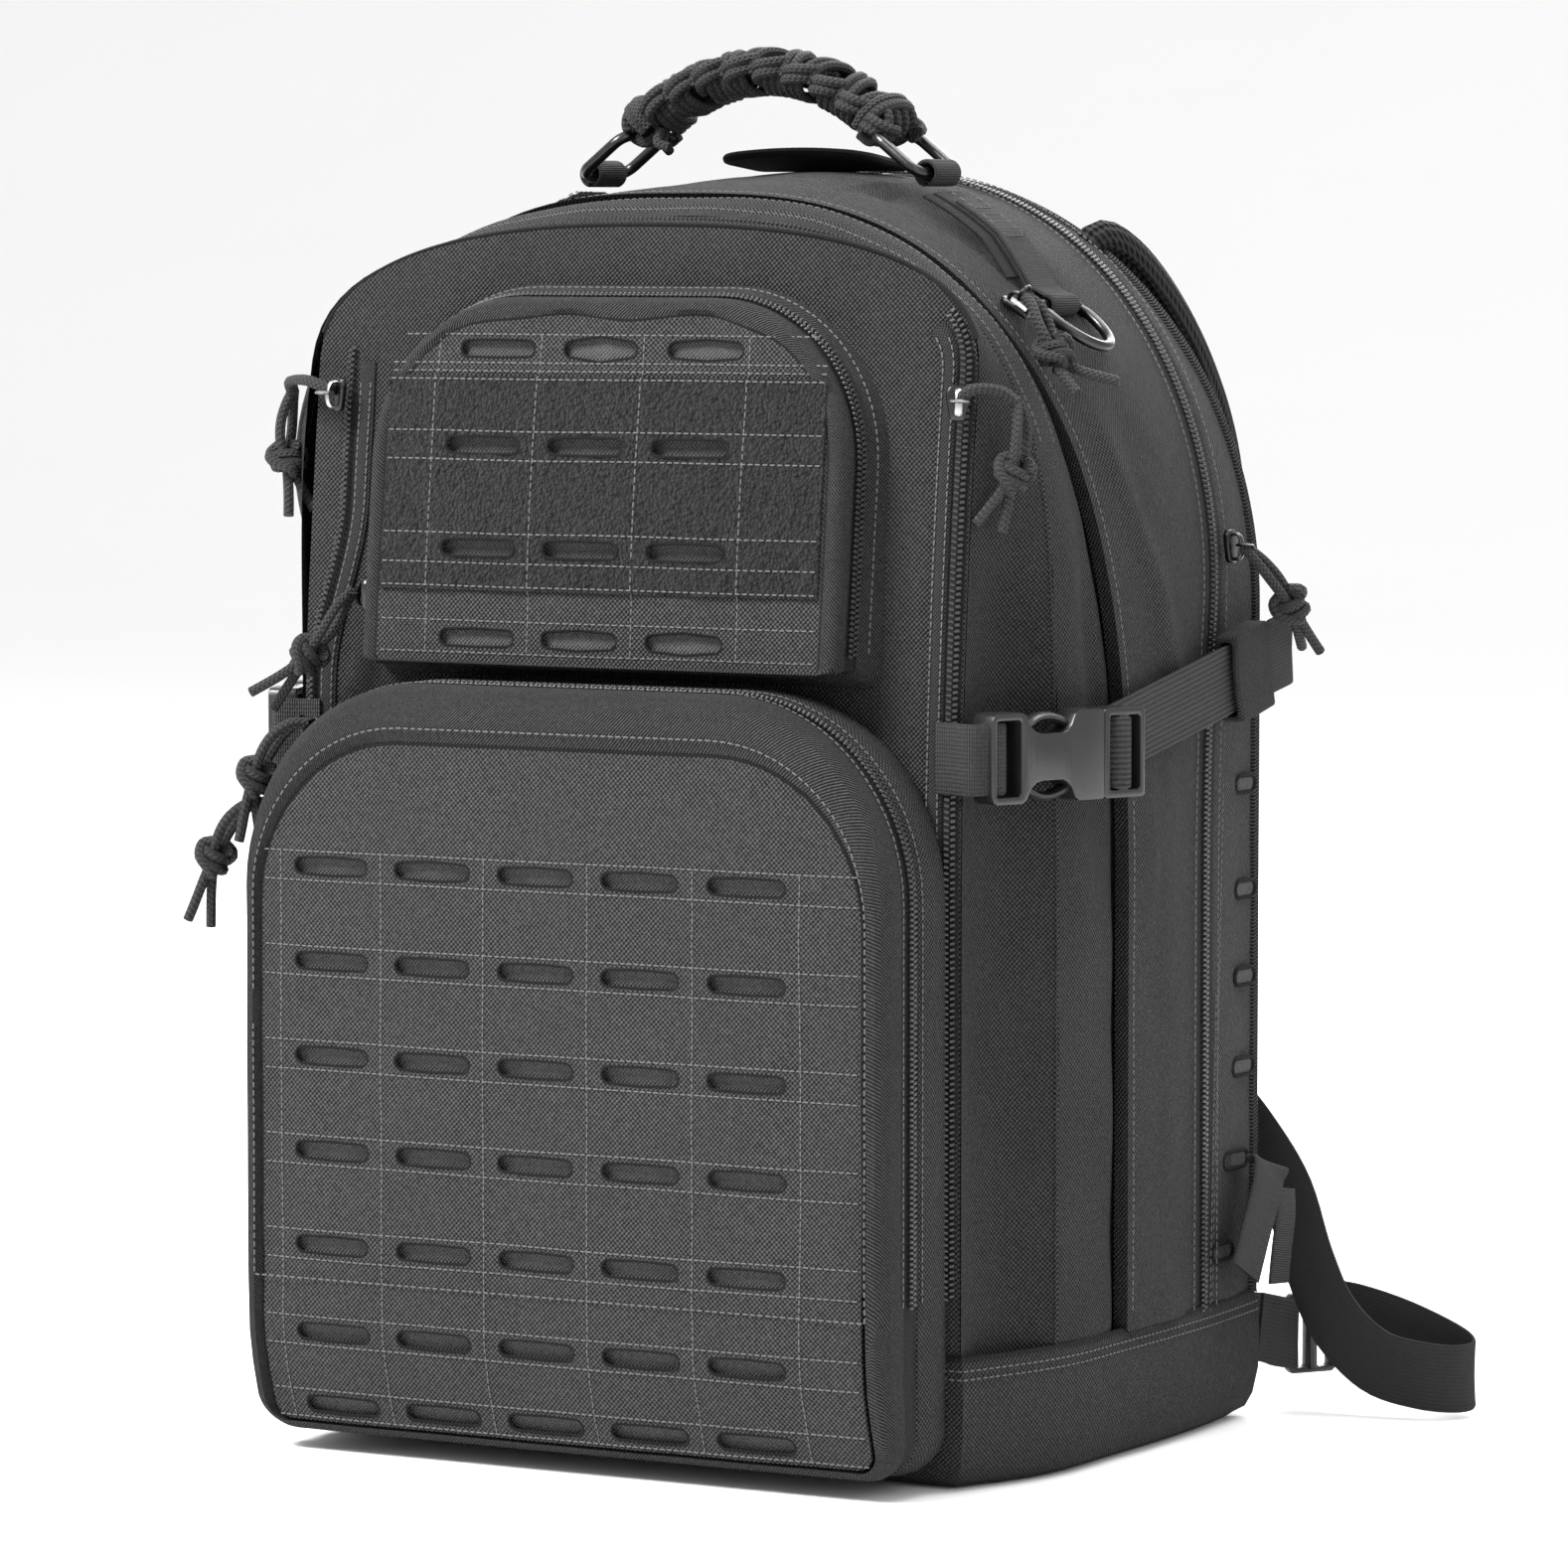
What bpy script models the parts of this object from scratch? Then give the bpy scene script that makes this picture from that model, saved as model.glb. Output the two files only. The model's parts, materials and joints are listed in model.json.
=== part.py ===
"""Trauma backpack: a clamshell medical pack with two zipped front pockets, laser-cut attachment panels,
side compression buckles, a braided cord carry handle and padded shoulder straps.

Metres, +Z up. The origin is on the floor under the middle of the base. The front faces -Y, the wearer's back is
at +Y, and +X is the right-hand side of someone who looks at the front.
"""

import math

import bmesh
import bpy
from mathutils import Matrix, Vector
from mathutils.geometry import tessellate_polygon

# ---------------------------------------------------------------- driving dimensions
GAP = 0.0003
WALL = 0.003
WEBBING_WIDTH = 0.0254
WEBBING_THICK = 0.0018
ARCH_POINTS = 34

BASE_TOP = 0.046
BASE_ROUND = 0.006
FRONT_Y = -0.105
BACK_Y = 0.098
LEAN_START = 0.200

# Each arch of the shell: half width, height, height where the arch springs, power of the arch's curve, y of the
# straight sides and y of the crown.
FRONT_EDGE = (0.136, 0.438, 0.386, 2.5, FRONT_Y, -0.086)
CREASE_SEAM = (0.150, 0.4405, 0.305, 2.9, -0.061, -0.083)
STORM_SEAM = (0.151, 0.4485, 0.240, 2.9, -0.013, -0.063)
REAR_ZIP = (0.150, 0.456, 0.300, 2.0, 0.050, 0.085)
BACK_EDGE = (0.146, 0.455, 0.300, 2.0, BACK_Y, BACK_Y)
GUSSET_SAG = 0.008
SAG_FADE = (0.300, 0.345)

LOWER_HALF = 0.131
LOWER_TOP = 0.276
LOWER_BOTTOM = 0.008
LOWER_RADIUS = 0.070
LOWER_ZIP_Y = -0.134
LOWER_FRONT_Y = -0.150
LOWER_FOLD_Z = 0.0605
SKIRT_SET_BACK = 0.010

UPPER_HALF = 0.102
UPPER_BOTTOM = 0.2795
UPPER_TOP = 0.417
UPPER_RADIUS = 0.062
UPPER_DEPTHS = (0.0006, 0.0110, 0.0145, 0.0215)

ZIP_THICK = 0.004
ZIP_BOTTOM = 0.072
MOLLE_THICK = 0.0012
MOLLE_DROP = 0.0338
MOLLE_PITCH = 0.0426
MOLLE_TOP_ROW = 0.2115
SLOT_LENGTH = 0.031
SLOT_HEIGHT = 0.006

HANDLE_Y = -0.003
HANDLE_SPAN = 0.070
HANDLE_PIVOT_Z = 0.4480
HANDLE_CROWN = 0.493
GRIP_END = (0.050, 0.4725)
GRIP_WIDE = 0.026
GRIP_HIGH = 0.016
RING_WIRE = 0.0045
RING_HALF_WIDE = 0.0155

STRAP_Z = 0.255
STRAP_RISE = 0.0275
CHORD_START = Vector((0.1415, -0.1130, STRAP_Z))
CHORD_WAY = Vector((0.350, 0.937, 0.0)).normalized()
CHORD_OUT = Vector((0.937, -0.350, 0.0)).normalized()
SOCKET_SPAN = (0.008, 0.060)
PLUG_SPAN = (0.0605, 0.079)
BUCKLE_HALF_HIGH = 0.0158
BUCKLE_THICK = 0.0110

# Past LOOP_ROOT, each adjuster webbing's corner loop is drawn in to this share of its full reach.
LOOP_ROOT = 0.147
LOOP_SHARE = {"right": 1.0, "left": 0.55}

# How each cord pull hangs from its slider.
PULL_HANG = ((0.006, 0.002, -0.004), (0.009, 0.004, -0.014), (0.009, 0.004, -0.028), (0.006, 0.003, -0.046))
REAR_PULL_HANG = ((0.004, 0.003, -0.004), (0.009, 0.008, -0.012), (0.012, 0.015, -0.022), (0.014, 0.028, -0.041))
REAR_SLIDER_Z = 0.3220

# ---------------------------------------------------------------- materials
FINISHES = {
    "cordura": ((0.055, 0.055, 0.057), 0.88, 0.0),
    "binding": ((0.045, 0.045, 0.047), 0.82, 0.0),
    "laminate": ((0.062, 0.062, 0.064), 0.80, 0.0),
    "loop_pile": ((0.038, 0.038, 0.040), 0.98, 0.0),
    "webbing": ((0.042, 0.042, 0.044), 0.78, 0.0),
    "paracord": ((0.022, 0.022, 0.024), 0.70, 0.0),
    "acetal": ((0.028, 0.028, 0.030), 0.42, 0.0),
    "zip_coil": ((0.018, 0.018, 0.019), 0.50, 0.0),
    "steel": ((0.42, 0.42, 0.43), 0.28, 1.0),
    "black_steel": ((0.05, 0.05, 0.052), 0.35, 1.0),
    "air_mesh": ((0.012, 0.012, 0.013), 0.92, 0.0),
}


def clear_scene():
    for thing in list(bpy.data.objects):
        bpy.data.objects.remove(thing, do_unlink=True)


def finish(name):
    """The one material of this finish, made on first use."""
    if name in bpy.data.materials:
        return bpy.data.materials[name]
    colour, roughness, metallic = FINISHES[name]
    material = bpy.data.materials.new(name)
    material.use_nodes = True
    shader = material.node_tree.nodes["Principled BSDF"]
    shader.inputs["Base Color"].default_value = (*colour, 1.0)
    shader.inputs["Roughness"].default_value = roughness
    shader.inputs["Metallic"].default_value = metallic
    return material


# ---------------------------------------------------------------- mesh tools
def add_object(name, points, faces, material, pivot=(0, 0, 0)):
    """A closed mesh from world points and faces, with its origin at pivot."""
    mesh = bpy.data.meshes.new(name)
    origin = Vector(pivot)
    mesh.from_pydata([Vector(point) - origin for point in points], [], faces)
    shape = bmesh.new()
    shape.from_mesh(mesh)
    bmesh.ops.recalc_face_normals(shape, faces=shape.faces)
    shape.to_mesh(mesh)
    shape.free()
    mesh.materials.append(finish(material))
    mesh.shade_smooth()
    mesh.set_sharp_from_angle(angle=math.radians(35))
    thing = bpy.data.objects.new(name, mesh)
    thing.location = origin
    bpy.context.scene.collection.objects.link(thing)
    return thing


def loops_to_faces(loops, closed_loop=True):
    """Quads between neighbouring loops of equal length, whose points are numbered loop after loop."""
    count = len(loops[0])
    spans = count if closed_loop else count - 1
    faces = []
    for row in range(len(loops) - 1):
        for i in range(spans):
            j = (i + 1) % count
            faces.append((row * count + i, row * count + j, (row + 1) * count + j, (row + 1) * count + i))
    return faces


def ring_solid(name, loops, material, pivot=(0, 0, 0)):
    """A solid whose section is the closed chain of loops: the last loop joins the first."""
    points = [point for loop in loops for point in loop]
    faces = loops_to_faces(loops)
    count, last = len(loops[0]), (len(loops) - 1) * len(loops[0])
    for i in range(count):
        j = (i + 1) % count
        faces.append((last + i, last + j, j, i))
    return add_object(name, points, faces, material, pivot)


def capped_solid(name, loops, material, pivot=(0, 0, 0)):
    """A solid skinned over closed loops, with a flat cap on the first and the last."""
    points = [point for loop in loops for point in loop]
    count = len(loops[0])
    faces = loops_to_faces(loops)
    faces.append(tuple(range(count)))
    faces.append(tuple(range(len(points) - count, len(points))))
    return add_object(name, points, faces, material, pivot)


def plate(name, outline, holes, thick, place, material, pivot=(0, 0, 0)):
    """A flat plate with holes right through. place(u, v, depth) gives the world point."""
    loops = [outline] + holes
    flat = [[Vector((u, v, 0.0)) for u, v in loop] for loop in loops]
    triangles = tessellate_polygon(flat)
    front = [place(u, v, thick) for loop in loops for u, v in loop]
    back = [place(u, v, 0.0) for loop in loops for u, v in loop]
    total = len(front)
    faces = [tuple(face) for face in triangles]
    faces += [tuple(total + i for i in reversed(face)) for face in triangles]
    start = 0
    for loop in loops:
        for i in range(len(loop)):
            j = (i + 1) % len(loop)
            faces.append((start + i, start + j, total + start + j, total + start + i))
        start += len(loop)
    return add_object(name, front + back, faces, material, pivot)


def sweep(name, path, section, side, material, pivot=(0, 0, 0), scales=None, closed_path=False):
    """Carries a closed section (list of across, out) along a path. side is the across direction at each point."""
    count = len(path)
    loops = []
    for i, point in enumerate(path):
        ahead = path[(i + 1) % count] if closed_path or i < count - 1 else path[i]
        behind = path[i - 1] if closed_path or i > 0 else path[i]
        way = (ahead - behind).normalized()
        across = side[i] if isinstance(side, list) else side
        across = (across - way * across.dot(way)).normalized()
        out = way.cross(across)
        size = scales[i] if scales else 1.0
        loops.append([point + (across * u + out * v) * size for u, v in section])
    if closed_path:
        return ring_solid(name, loops, material, pivot)
    return capped_solid(name, loops, material, pivot)


def box_section(width, thick):
    u, v = width / 2, thick / 2
    return [(-u, -v), (u, -v), (u, v), (-u, v)]


def round_section(radius, sides=8, squash=1.0):
    turns = [2 * math.pi * (i + 0.5) / sides for i in range(sides)]
    return [(radius * math.cos(turn), radius * squash * math.sin(turn)) for turn in turns]


def mirrored(point, side):
    return Vector((side * point.x, point.y, point.z))


def smooth_path(points, per_span):
    """A Catmull-Rom curve through the points, with per_span steps between each two."""
    points = [Vector(point) for point in points]
    ends = [2 * points[0] - points[1]] + points + [2 * points[-1] - points[-2]]
    path = []
    for i in range(len(points) - 1):
        a, b, c, d = ends[i : i + 4]
        for step in range(per_span):
            t = step / per_span
            path.append(
                0.5 * ((2 * b) + (c - a) * t + (2 * a - 5 * b + 4 * c - d) * t**2 + (3 * b - a - 3 * c + d) * t**3)
            )
    return path + [points[-1]]


def rounded_rect(left, right, low, high, low_radius, high_radius, steps=6):
    """A rounded rectangle's outline, counter-clockwise from the lower right corner."""
    corners = (
        (right - low_radius, low + low_radius, low_radius, -90),
        (right - high_radius, high - high_radius, high_radius, 0),
        (left + high_radius, high - high_radius, high_radius, 90),
        (left + low_radius, low + low_radius, low_radius, 180),
    )
    outline = []
    for u, v, radius, start in corners:
        for step in range(steps + 1):
            turn = math.radians(start + 90 * step / steps)
            outline.append((u + radius * math.cos(turn), v + radius * math.sin(turn)))
    return outline


def slot(u, v, length=SLOT_LENGTH, high=SLOT_HEIGHT):
    """A laser-cut slot with round ends, as ten points."""
    radius = high / 2
    points = []
    for end, start in ((1, -90), (-1, 90)):
        for step in range(5):
            turn = math.radians(start + 180 * step / 4)
            points.append((u + end * (length / 2 - radius) + radius * math.cos(turn), v + radius * math.sin(turn)))
    return points


# ---------------------------------------------------------------- the shell's arches
def lean(profile, z):
    """y of this arch at height z: straight sides below LEAN_START, then a growing lean to the crown's y."""
    _, height, _, _, low_y, crown_y = profile
    t = min(1.0, max(0.0, (z - LEAN_START) / (height - LEAN_START)))
    return low_y + (crown_y - low_y) * t * t


def arch_xz(profile, steps=240):
    half, height, spring, power = profile[:4]
    points = [(half, BASE_TOP)]
    for step in range(steps + 1):
        turn = math.pi * step / steps
        across = math.copysign(abs(math.cos(turn)) ** (2 / power), math.cos(turn))
        points.append((half * across, spring + (height - spring) * abs(math.sin(turn)) ** (2 / power)))
    return points + [(-half, BASE_TOP)]


def arch(profile, inset=0.0, count=ARCH_POINTS):
    """Points evenly spaced along the arch from its right foot to its left, moved inwards by inset."""
    dense = arch_xz(profile)
    lengths = [0.0]
    for a, b in zip(dense, dense[1:]):
        lengths.append(lengths[-1] + math.dist(a, b))
    result = []
    k = 0
    for i in range(count):
        target = lengths[-1] * i / (count - 1)
        while k < len(dense) - 2 and lengths[k + 1] < target:
            k += 1
        span = max(lengths[k + 1] - lengths[k], 1e-9)
        t = (target - lengths[k]) / span
        (ax, az), (bx, bz) = dense[k], dense[k + 1]
        x, z = ax + (bx - ax) * t, az + (bz - az) * t
        way = Vector((bx - ax, bz - az)).normalized()
        result.append(Vector((x - way.y * inset, lean(profile, z), z + way.x * inset)))
    return result


def between(first, second, t):
    return [a.lerp(b, t) for a, b in zip(first, second)]


def sag_share(z):
    """How much of the gusset's sag applies at height z: all of it low down, none near the crown."""
    low, high = SAG_FADE
    return min(1.0, max(0.0, (high - z) / (high - low)))


def shell_band(name, first, second, sag, material):
    """The fabric band sewn between two arches, WALL thick, with a middle row that sags inwards."""
    edge = 0.006
    outer, inner = [], []
    for t, drop in ((edge, 0.0), (0.5, sag), (1 - edge, 0.0)):
        for rows, inset in ((outer, 0.0), (inner, WALL)):
            flush = between(arch(first, inset), arch(second, inset), t)
            sunk = between(arch(first, inset + drop), arch(second, inset + drop), t)
            rows.append([a.lerp(b, sag_share(a.z)) for a, b in zip(flush, sunk)])
    rows = outer + inner[::-1]
    columns = [[row[i] for row in rows] for i in range(ARCH_POINTS)]
    return capped_solid(name, columns, material)


def arched_sheet(name, profile, inset, y_shift, thick, material):
    """A sheet that fills an arch from its feet to its crown."""
    rim = arch(profile, inset)
    front = [point + Vector((0, y_shift, 0)) for point in rim]
    back = [point + Vector((0, y_shift + thick, 0)) for point in rim]
    count = len(rim)
    faces = []
    for i in range(count // 2 - 1):
        faces.append((i, i + 1, count - 2 - i, count - 1 - i))
        faces.append((count + i, 2 * count - 1 - i, 2 * count - 2 - i, count + i + 1))
    for i in range(count):
        j = (i + 1) % count
        faces.append((i, count + i, count + j, j))
    return add_object(name, front + back, faces, material)


def base_outline(inset, z):
    """The base tray's outline, which runs through the feet of all five arches."""
    arches = (FRONT_EDGE, CREASE_SEAM, STORM_SEAM, REAR_ZIP, BACK_EDGE)
    right = [(profile[0] - inset, profile[4]) for profile in arches]
    right[0] = (right[0][0], FRONT_Y + inset)
    right[-1] = (right[-1][0], BACK_Y + WALL - inset)
    outline = right + [(-x, y) for x, y in reversed(right)]
    return [Vector((x, y, z)) for x, y in outline]


def base_panel():
    loops = [
        base_outline(0.0, BASE_TOP - GAP),
        base_outline(0.0, BASE_ROUND),
        base_outline(BASE_ROUND * 0.3, BASE_ROUND * 0.3),
        base_outline(BASE_ROUND, 0.0),
        base_outline(BASE_ROUND + WALL, WALL),
        base_outline(WALL, BASE_ROUND + WALL * 0.5),
        base_outline(WALL, BASE_TOP - GAP),
    ]
    count = len(loops[0])
    points = [point for loop in loops for point in loop]
    faces = [face for face in loops_to_faces(loops) if face[0] // count != 3]
    faces.append(tuple(3 * count + i for i in range(count)))
    faces.append(tuple(4 * count + i for i in range(count)))
    last = 6 * count
    for i in range(count):
        j = (i + 1) % count
        faces.append((last + i, last + j, j, i))
    return add_object("base_panel", points, faces, "cordura")


def shell():
    base = base_panel()
    for side, word in ((1, "right"), (-1, "left")):
        corner_tab(side, word, base)
    arched_sheet("front_panel", FRONT_EDGE, WALL + 7 * GAP, 0.0, WALL, "cordura")
    shell_band("front_gusset", FRONT_EDGE, CREASE_SEAM, GUSSET_SAG, "cordura")
    shell_band("middle_gusset", CREASE_SEAM, STORM_SEAM, 0.0, "binding")
    shell_band("rear_gusset", STORM_SEAM, REAR_ZIP, 0.0, "cordura")
    shell_band("rear_side_panel", REAR_ZIP, BACK_EDGE, 0.0, "laminate")
    arched_sheet("back_panel", BACK_EDGE, 0.0, GAP, WALL, "cordura")
    divider = (0.151, 0.4485, 0.240, 2.9, -0.008, -0.050)
    arched_sheet("compartment_divider", divider, WALL + 0.004, 0.0, 0.002, "cordura")
    pad_outline = rounded_rect(-0.118, 0.118, 0.070, 0.395, 0.040, 0.070)
    place = lambda x, z, depth: Vector((x, BACK_Y + WALL + 2 * GAP + depth, z))
    plate("back_pad", pad_outline, [], 0.014, place, "air_mesh")


def front_zip_x(z):
    """Distance of the front zip's strip from the middle: it rides out where the gusset doesn't sag."""
    return FRONT_EDGE[0] + 0.0015 + 0.0040 * (1 - sag_share(z + 0.012))


def rear_zip_place(z):
    """Where a slider sits on the right run of the rear zip."""
    half, height, spring, power = REAR_ZIP[:4]
    x = half * (1 - max(0.0, (z - spring) / (height - spring)) ** power) ** (1 / power)
    return Vector((x + 0.0030, lean(REAR_ZIP, z) + 0.0085, z))


def shell_zips():
    for side, word in ((1, "right"), (-1, "left")):
        heights = [ZIP_BOTTOM + (FRONT_EDGE[2] - ZIP_BOTTOM) * i / 10 for i in range(11)]
        path = [Vector((side * front_zip_x(z), lean(FRONT_EDGE, z) + 0.0045, z)) for z in heights]
        sweep("zipper_front_" + word, path, box_section(0.0070, 0.0018), Vector((0, 1, 0)), "zip_coil")
    path = arch(REAR_ZIP, -0.0016)
    sweep("zipper_rear", path, box_section(0.0080, 0.0018), Vector((0, 1, 0)), "zip_coil")


# ---------------------------------------------------------------- front pockets
def flat_loop(outline, y_of_z):
    return [Vector((x, y_of_z(z), z)) for x, z in outline]


def pocket_outline(half, low, high, radius, inset, low_radius=0.014):
    """A pocket's outline, drawn in by inset on every side."""
    return rounded_rect(
        -half + inset, half - inset, low + inset, high - inset, max(low_radius - inset, 0.003), radius - inset
    )


def pocket_sleeve(name, outline_at, y_front, y_back, wall, material):
    """The side wall of a pocket: an open-ended sleeve between two depths."""
    loops = [
        flat_loop(outline_at(0.0), y_front),
        flat_loop(outline_at(0.0), y_back),
        flat_loop(outline_at(wall), y_back),
        flat_loop(outline_at(wall), y_front),
    ]
    return ring_solid(name, loops, material)


def pocket_cover(name, outline_at, y_rim, y_front, wall, material, pivot, bevel=0.004):
    """A pocket's front cover: a shallow shell, open at the back, with a softened front edge."""
    loops = [
        flat_loop(outline_at(0.0), y_rim),
        flat_loop(outline_at(0.0), lambda z: y_front(z) + bevel),
        flat_loop(outline_at(bevel), y_front),
        flat_loop(outline_at(bevel + wall * 0.4), lambda z: y_front(z) + wall),
        flat_loop(outline_at(wall), lambda z: y_front(z) + wall + bevel * 0.6),
        flat_loop(outline_at(wall), y_rim),
    ]
    count = len(loops[0])
    points = [point for loop in loops for point in loop]
    faces = [face for face in loops_to_faces(loops) if face[0] // count != 2]
    faces.append(tuple(2 * count + i for i in range(count)))
    faces.append(tuple(3 * count + i for i in range(count)))
    last = 5 * count
    for i in range(count):
        j = (i + 1) % count
        faces.append((last + i, last + j, j, i))
    return add_object(name, points, faces, material, pivot)


def molle_slots(rows, columns, centre_x=0.0):
    middle = (columns - 1) / 2
    return [
        slot(centre_x + MOLLE_PITCH * (column - middle), z) for z in rows for column in range(columns)
    ]


def lower_pocket():
    hinge = (0.0, LOWER_FRONT_Y - GAP - MOLLE_THICK - GAP, LOWER_FOLD_Z)
    whole = lambda inset: pocket_outline(LOWER_HALF, LOWER_BOTTOM, LOWER_TOP, LOWER_RADIUS, inset)
    flap = lambda inset: pocket_outline(
        LOWER_HALF, LOWER_FOLD_Z + GAP, LOWER_TOP, LOWER_RADIUS, inset, low_radius=0.004
    )
    skirt = lambda inset: pocket_outline(
        LOWER_HALF, LOWER_BOTTOM, LOWER_FOLD_Z - GAP, 0.004, inset, low_radius=0.014
    )
    level = lambda y: lambda z: y
    back_y = lambda z: FRONT_Y - GAP
    pocket_sleeve("lower_pocket_box", whole, level(LOWER_ZIP_Y + ZIP_THICK), back_y, WALL, "cordura")
    zip_front, zip_back = LOWER_ZIP_Y + GAP, LOWER_ZIP_Y + ZIP_THICK - GAP
    pocket_sleeve("zipper_lower", whole, level(zip_front), level(zip_back), 0.0035, "zip_coil")
    pocket_cover("lower_pocket_flap", flap, level(LOWER_ZIP_Y), level(LOWER_FRONT_Y), WALL, "binding", hinge)
    slope = SKIRT_SET_BACK / (LOWER_FOLD_Z - LOWER_BOTTOM)
    skirt_y = lambda z: LOWER_FRONT_Y + slope * (LOWER_FOLD_Z - z)
    cover = pocket_cover(
        "lower_pocket_skirt", skirt, level(LOWER_ZIP_Y), skirt_y, WALL, "binding", (0, 0, 0), 0.003
    )
    cut_skirt_slots(cover, skirt_y)
    panel = rounded_rect(-0.124, 0.124, LOWER_FOLD_Z + 0.002, 0.256, 0.003, 0.060)
    rows = [MOLLE_TOP_ROW - MOLLE_DROP * row for row in range(5)]
    place = lambda x, z, depth: Vector((x, LOWER_FRONT_Y - GAP - depth, z))
    plate("lower_molle_panel", panel, molle_slots(rows, 5, -0.0075), MOLLE_THICK, place, "laminate", hinge)


def cut_skirt_slots(cover, skirt_y):
    """The last two rows of slots, as shallow recesses below the flap's fold."""
    points, faces = [], []
    for outline in molle_slots((0.0450, 0.0180), 5, -0.0075):
        first, count = len(points), len(outline)
        for depth in (-0.002, MOLLE_THICK):
            points += [Vector((x, skirt_y(z) + depth, z)) for x, z in outline]
        faces += [tuple(first + i for i in face) for face in loops_to_faces([outline, outline])]
        faces += [tuple(range(first, first + count)), tuple(range(first + count, first + 2 * count))]
    cutter = add_object("skirt_slot_cutter", points, faces, "laminate")
    cutter.hide_render = True
    cutter.display_type = "WIRE"
    cut = cover.modifiers.new("slots", "BOOLEAN")
    cut.operation = "DIFFERENCE"
    cut.solver = "EXACT"
    cut.object = cutter


def upper_line(depth):
    """y as a function of z, this far in front of the line that the upper pocket leans back along."""
    low, high = lean(FRONT_EDGE, UPPER_BOTTOM), lean(FRONT_EDGE, UPPER_TOP)
    slope = (high - low) / (UPPER_TOP - UPPER_BOTTOM)
    return lambda z: low + slope * (z - UPPER_BOTTOM) - depth


def upper_pocket():
    """The upper pocket leans back with the front panel."""
    line = upper_line
    panel_y = lambda z: lean(FRONT_EDGE, z) - 3 * GAP
    back, zip_back, zip_front, front = UPPER_DEPTHS
    hinge = (0.0, line(front + 0.0045)(UPPER_BOTTOM), UPPER_BOTTOM)
    whole = lambda inset: pocket_outline(UPPER_HALF, UPPER_BOTTOM, UPPER_TOP, UPPER_RADIUS, inset, 0.006)
    pocket_sleeve("upper_pocket_box", whole, line(zip_back), panel_y, WALL, "cordura")
    pocket_sleeve("zipper_upper", whole, line(zip_front - GAP), line(zip_back + GAP), 0.0035, "zip_coil")
    pocket_cover("upper_pocket_flap", whole, line(zip_front), line(front), WALL, "binding", hinge, 0.003)
    sheet = rounded_rect(-0.090, 0.090, UPPER_BOTTOM + 0.006, 0.406, 0.004, 0.050)
    slot_rows = (0.2926, 0.3243, 0.3605, 0.3945)
    place = lambda x, z, depth: Vector((x, line(front + GAP + depth)(z), z))
    plate("upper_molle_panel", sheet, molle_slots(slot_rows, 3, -0.006), MOLLE_THICK, place, "laminate", hinge)
    field = rounded_rect(-0.088, 0.088, 0.3095, 0.3850, 0.002, 0.002, steps=1)
    over = lambda x, z, depth: Vector((x, line(front + 2 * GAP + MOLLE_THICK + depth)(z), z))
    plate("loop_field", field, molle_slots(slot_rows[1:3], 3, -0.006), 0.0016, over, "loop_pile", hinge)


# ---------------------------------------------------------------- carry handle, shoulder webbing and D-rings
def top_height(x, y):
    """Height of the shell's top at this place, between the storm seam and the rear zip."""
    heights = []
    for half, height, spring, power, _, _ in (STORM_SEAM, REAR_ZIP):
        heights.append(spring + (height - spring) * (1 - min(abs(x) / half, 0.999) ** power) ** (1 / power))
    ends = [lean(profile, z) for profile, z in zip((STORM_SEAM, REAR_ZIP), heights)]
    t = min(1.0, max(0.0, (y - ends[0]) / (ends[1] - ends[0])))
    return heights[0] + (heights[1] - heights[0]) * t


def handle():
    pivot = Vector((0.0, HANDLE_Y, HANDLE_PIVOT_Z))
    radius = grip_radius()
    reach = math.asin(GRIP_END[0] / radius)
    path = []
    for i in range(25):
        turn = reach * (i / 12 - 1)
        path.append(Vector((radius * math.sin(turn), HANDLE_Y, HANDLE_CROWN - radius * (1 - math.cos(turn)))))
    section = round_section(GRIP_WIDE / 2, 10, GRIP_HIGH / GRIP_WIDE)
    sweep("handle_grip", path, section, Vector((0, 1, 0)), "paracord", pivot)
    for side, word in ((1, "right"), (-1, "left")):
        handle_ring(side, word, pivot)
        handle_loop(side, word, pivot)


def grip_radius():
    rise = HANDLE_CROWN - GRIP_END[1]
    return (GRIP_END[0] ** 2 + rise**2) / (2 * rise)


def handle_ring(side, word, pivot):
    """A wire ring with two straight bars: one in the webbing loop, one against the braid's end."""
    turn = math.asin(GRIP_END[0] / grip_radius())
    clear = RING_WIRE / 2 + 0.0008
    high = Vector((GRIP_END[0] + clear * math.cos(turn), HANDLE_Y, GRIP_END[1] - clear * math.sin(turn)))
    low = Vector((HANDLE_SPAN, HANDLE_Y, HANDLE_PIVOT_Z + 0.0085))
    middle, way = (low + high) / 2, (high - low).normalized()
    half = (high - low).length / 2
    bars = rounded_rect(-half, half, -RING_HALF_WIDE, RING_HALF_WIDE, 0.005, 0.005, steps=3)
    path = [mirrored(middle + way * u + Vector((0, v, 0)), side) for u, v in bars]
    out = mirrored(Vector((0, 1, 0)).cross(way), side)
    sweep("handle_ring_" + word, path, round_section(RING_WIRE / 2, 6), out, "black_steel", pivot, None, True)


def handle_loop(side, word, pivot):
    """The short webbing loop that the ring hangs in."""
    centre = Vector((side * HANDLE_SPAN, HANDLE_Y, HANDLE_PIVOT_Z + 0.0085))
    path = []
    for step in range(13):
        turn = math.radians(-62 + 304 * step / 12)
        path.append(centre + Vector((math.cos(turn), 0, math.sin(turn))) * 0.0042)
    section = box_section(0.018, 0.0014)
    sweep("handle_loop_" + word, path, section, Vector((0, 1, 0)), "webbing", pivot)


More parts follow.
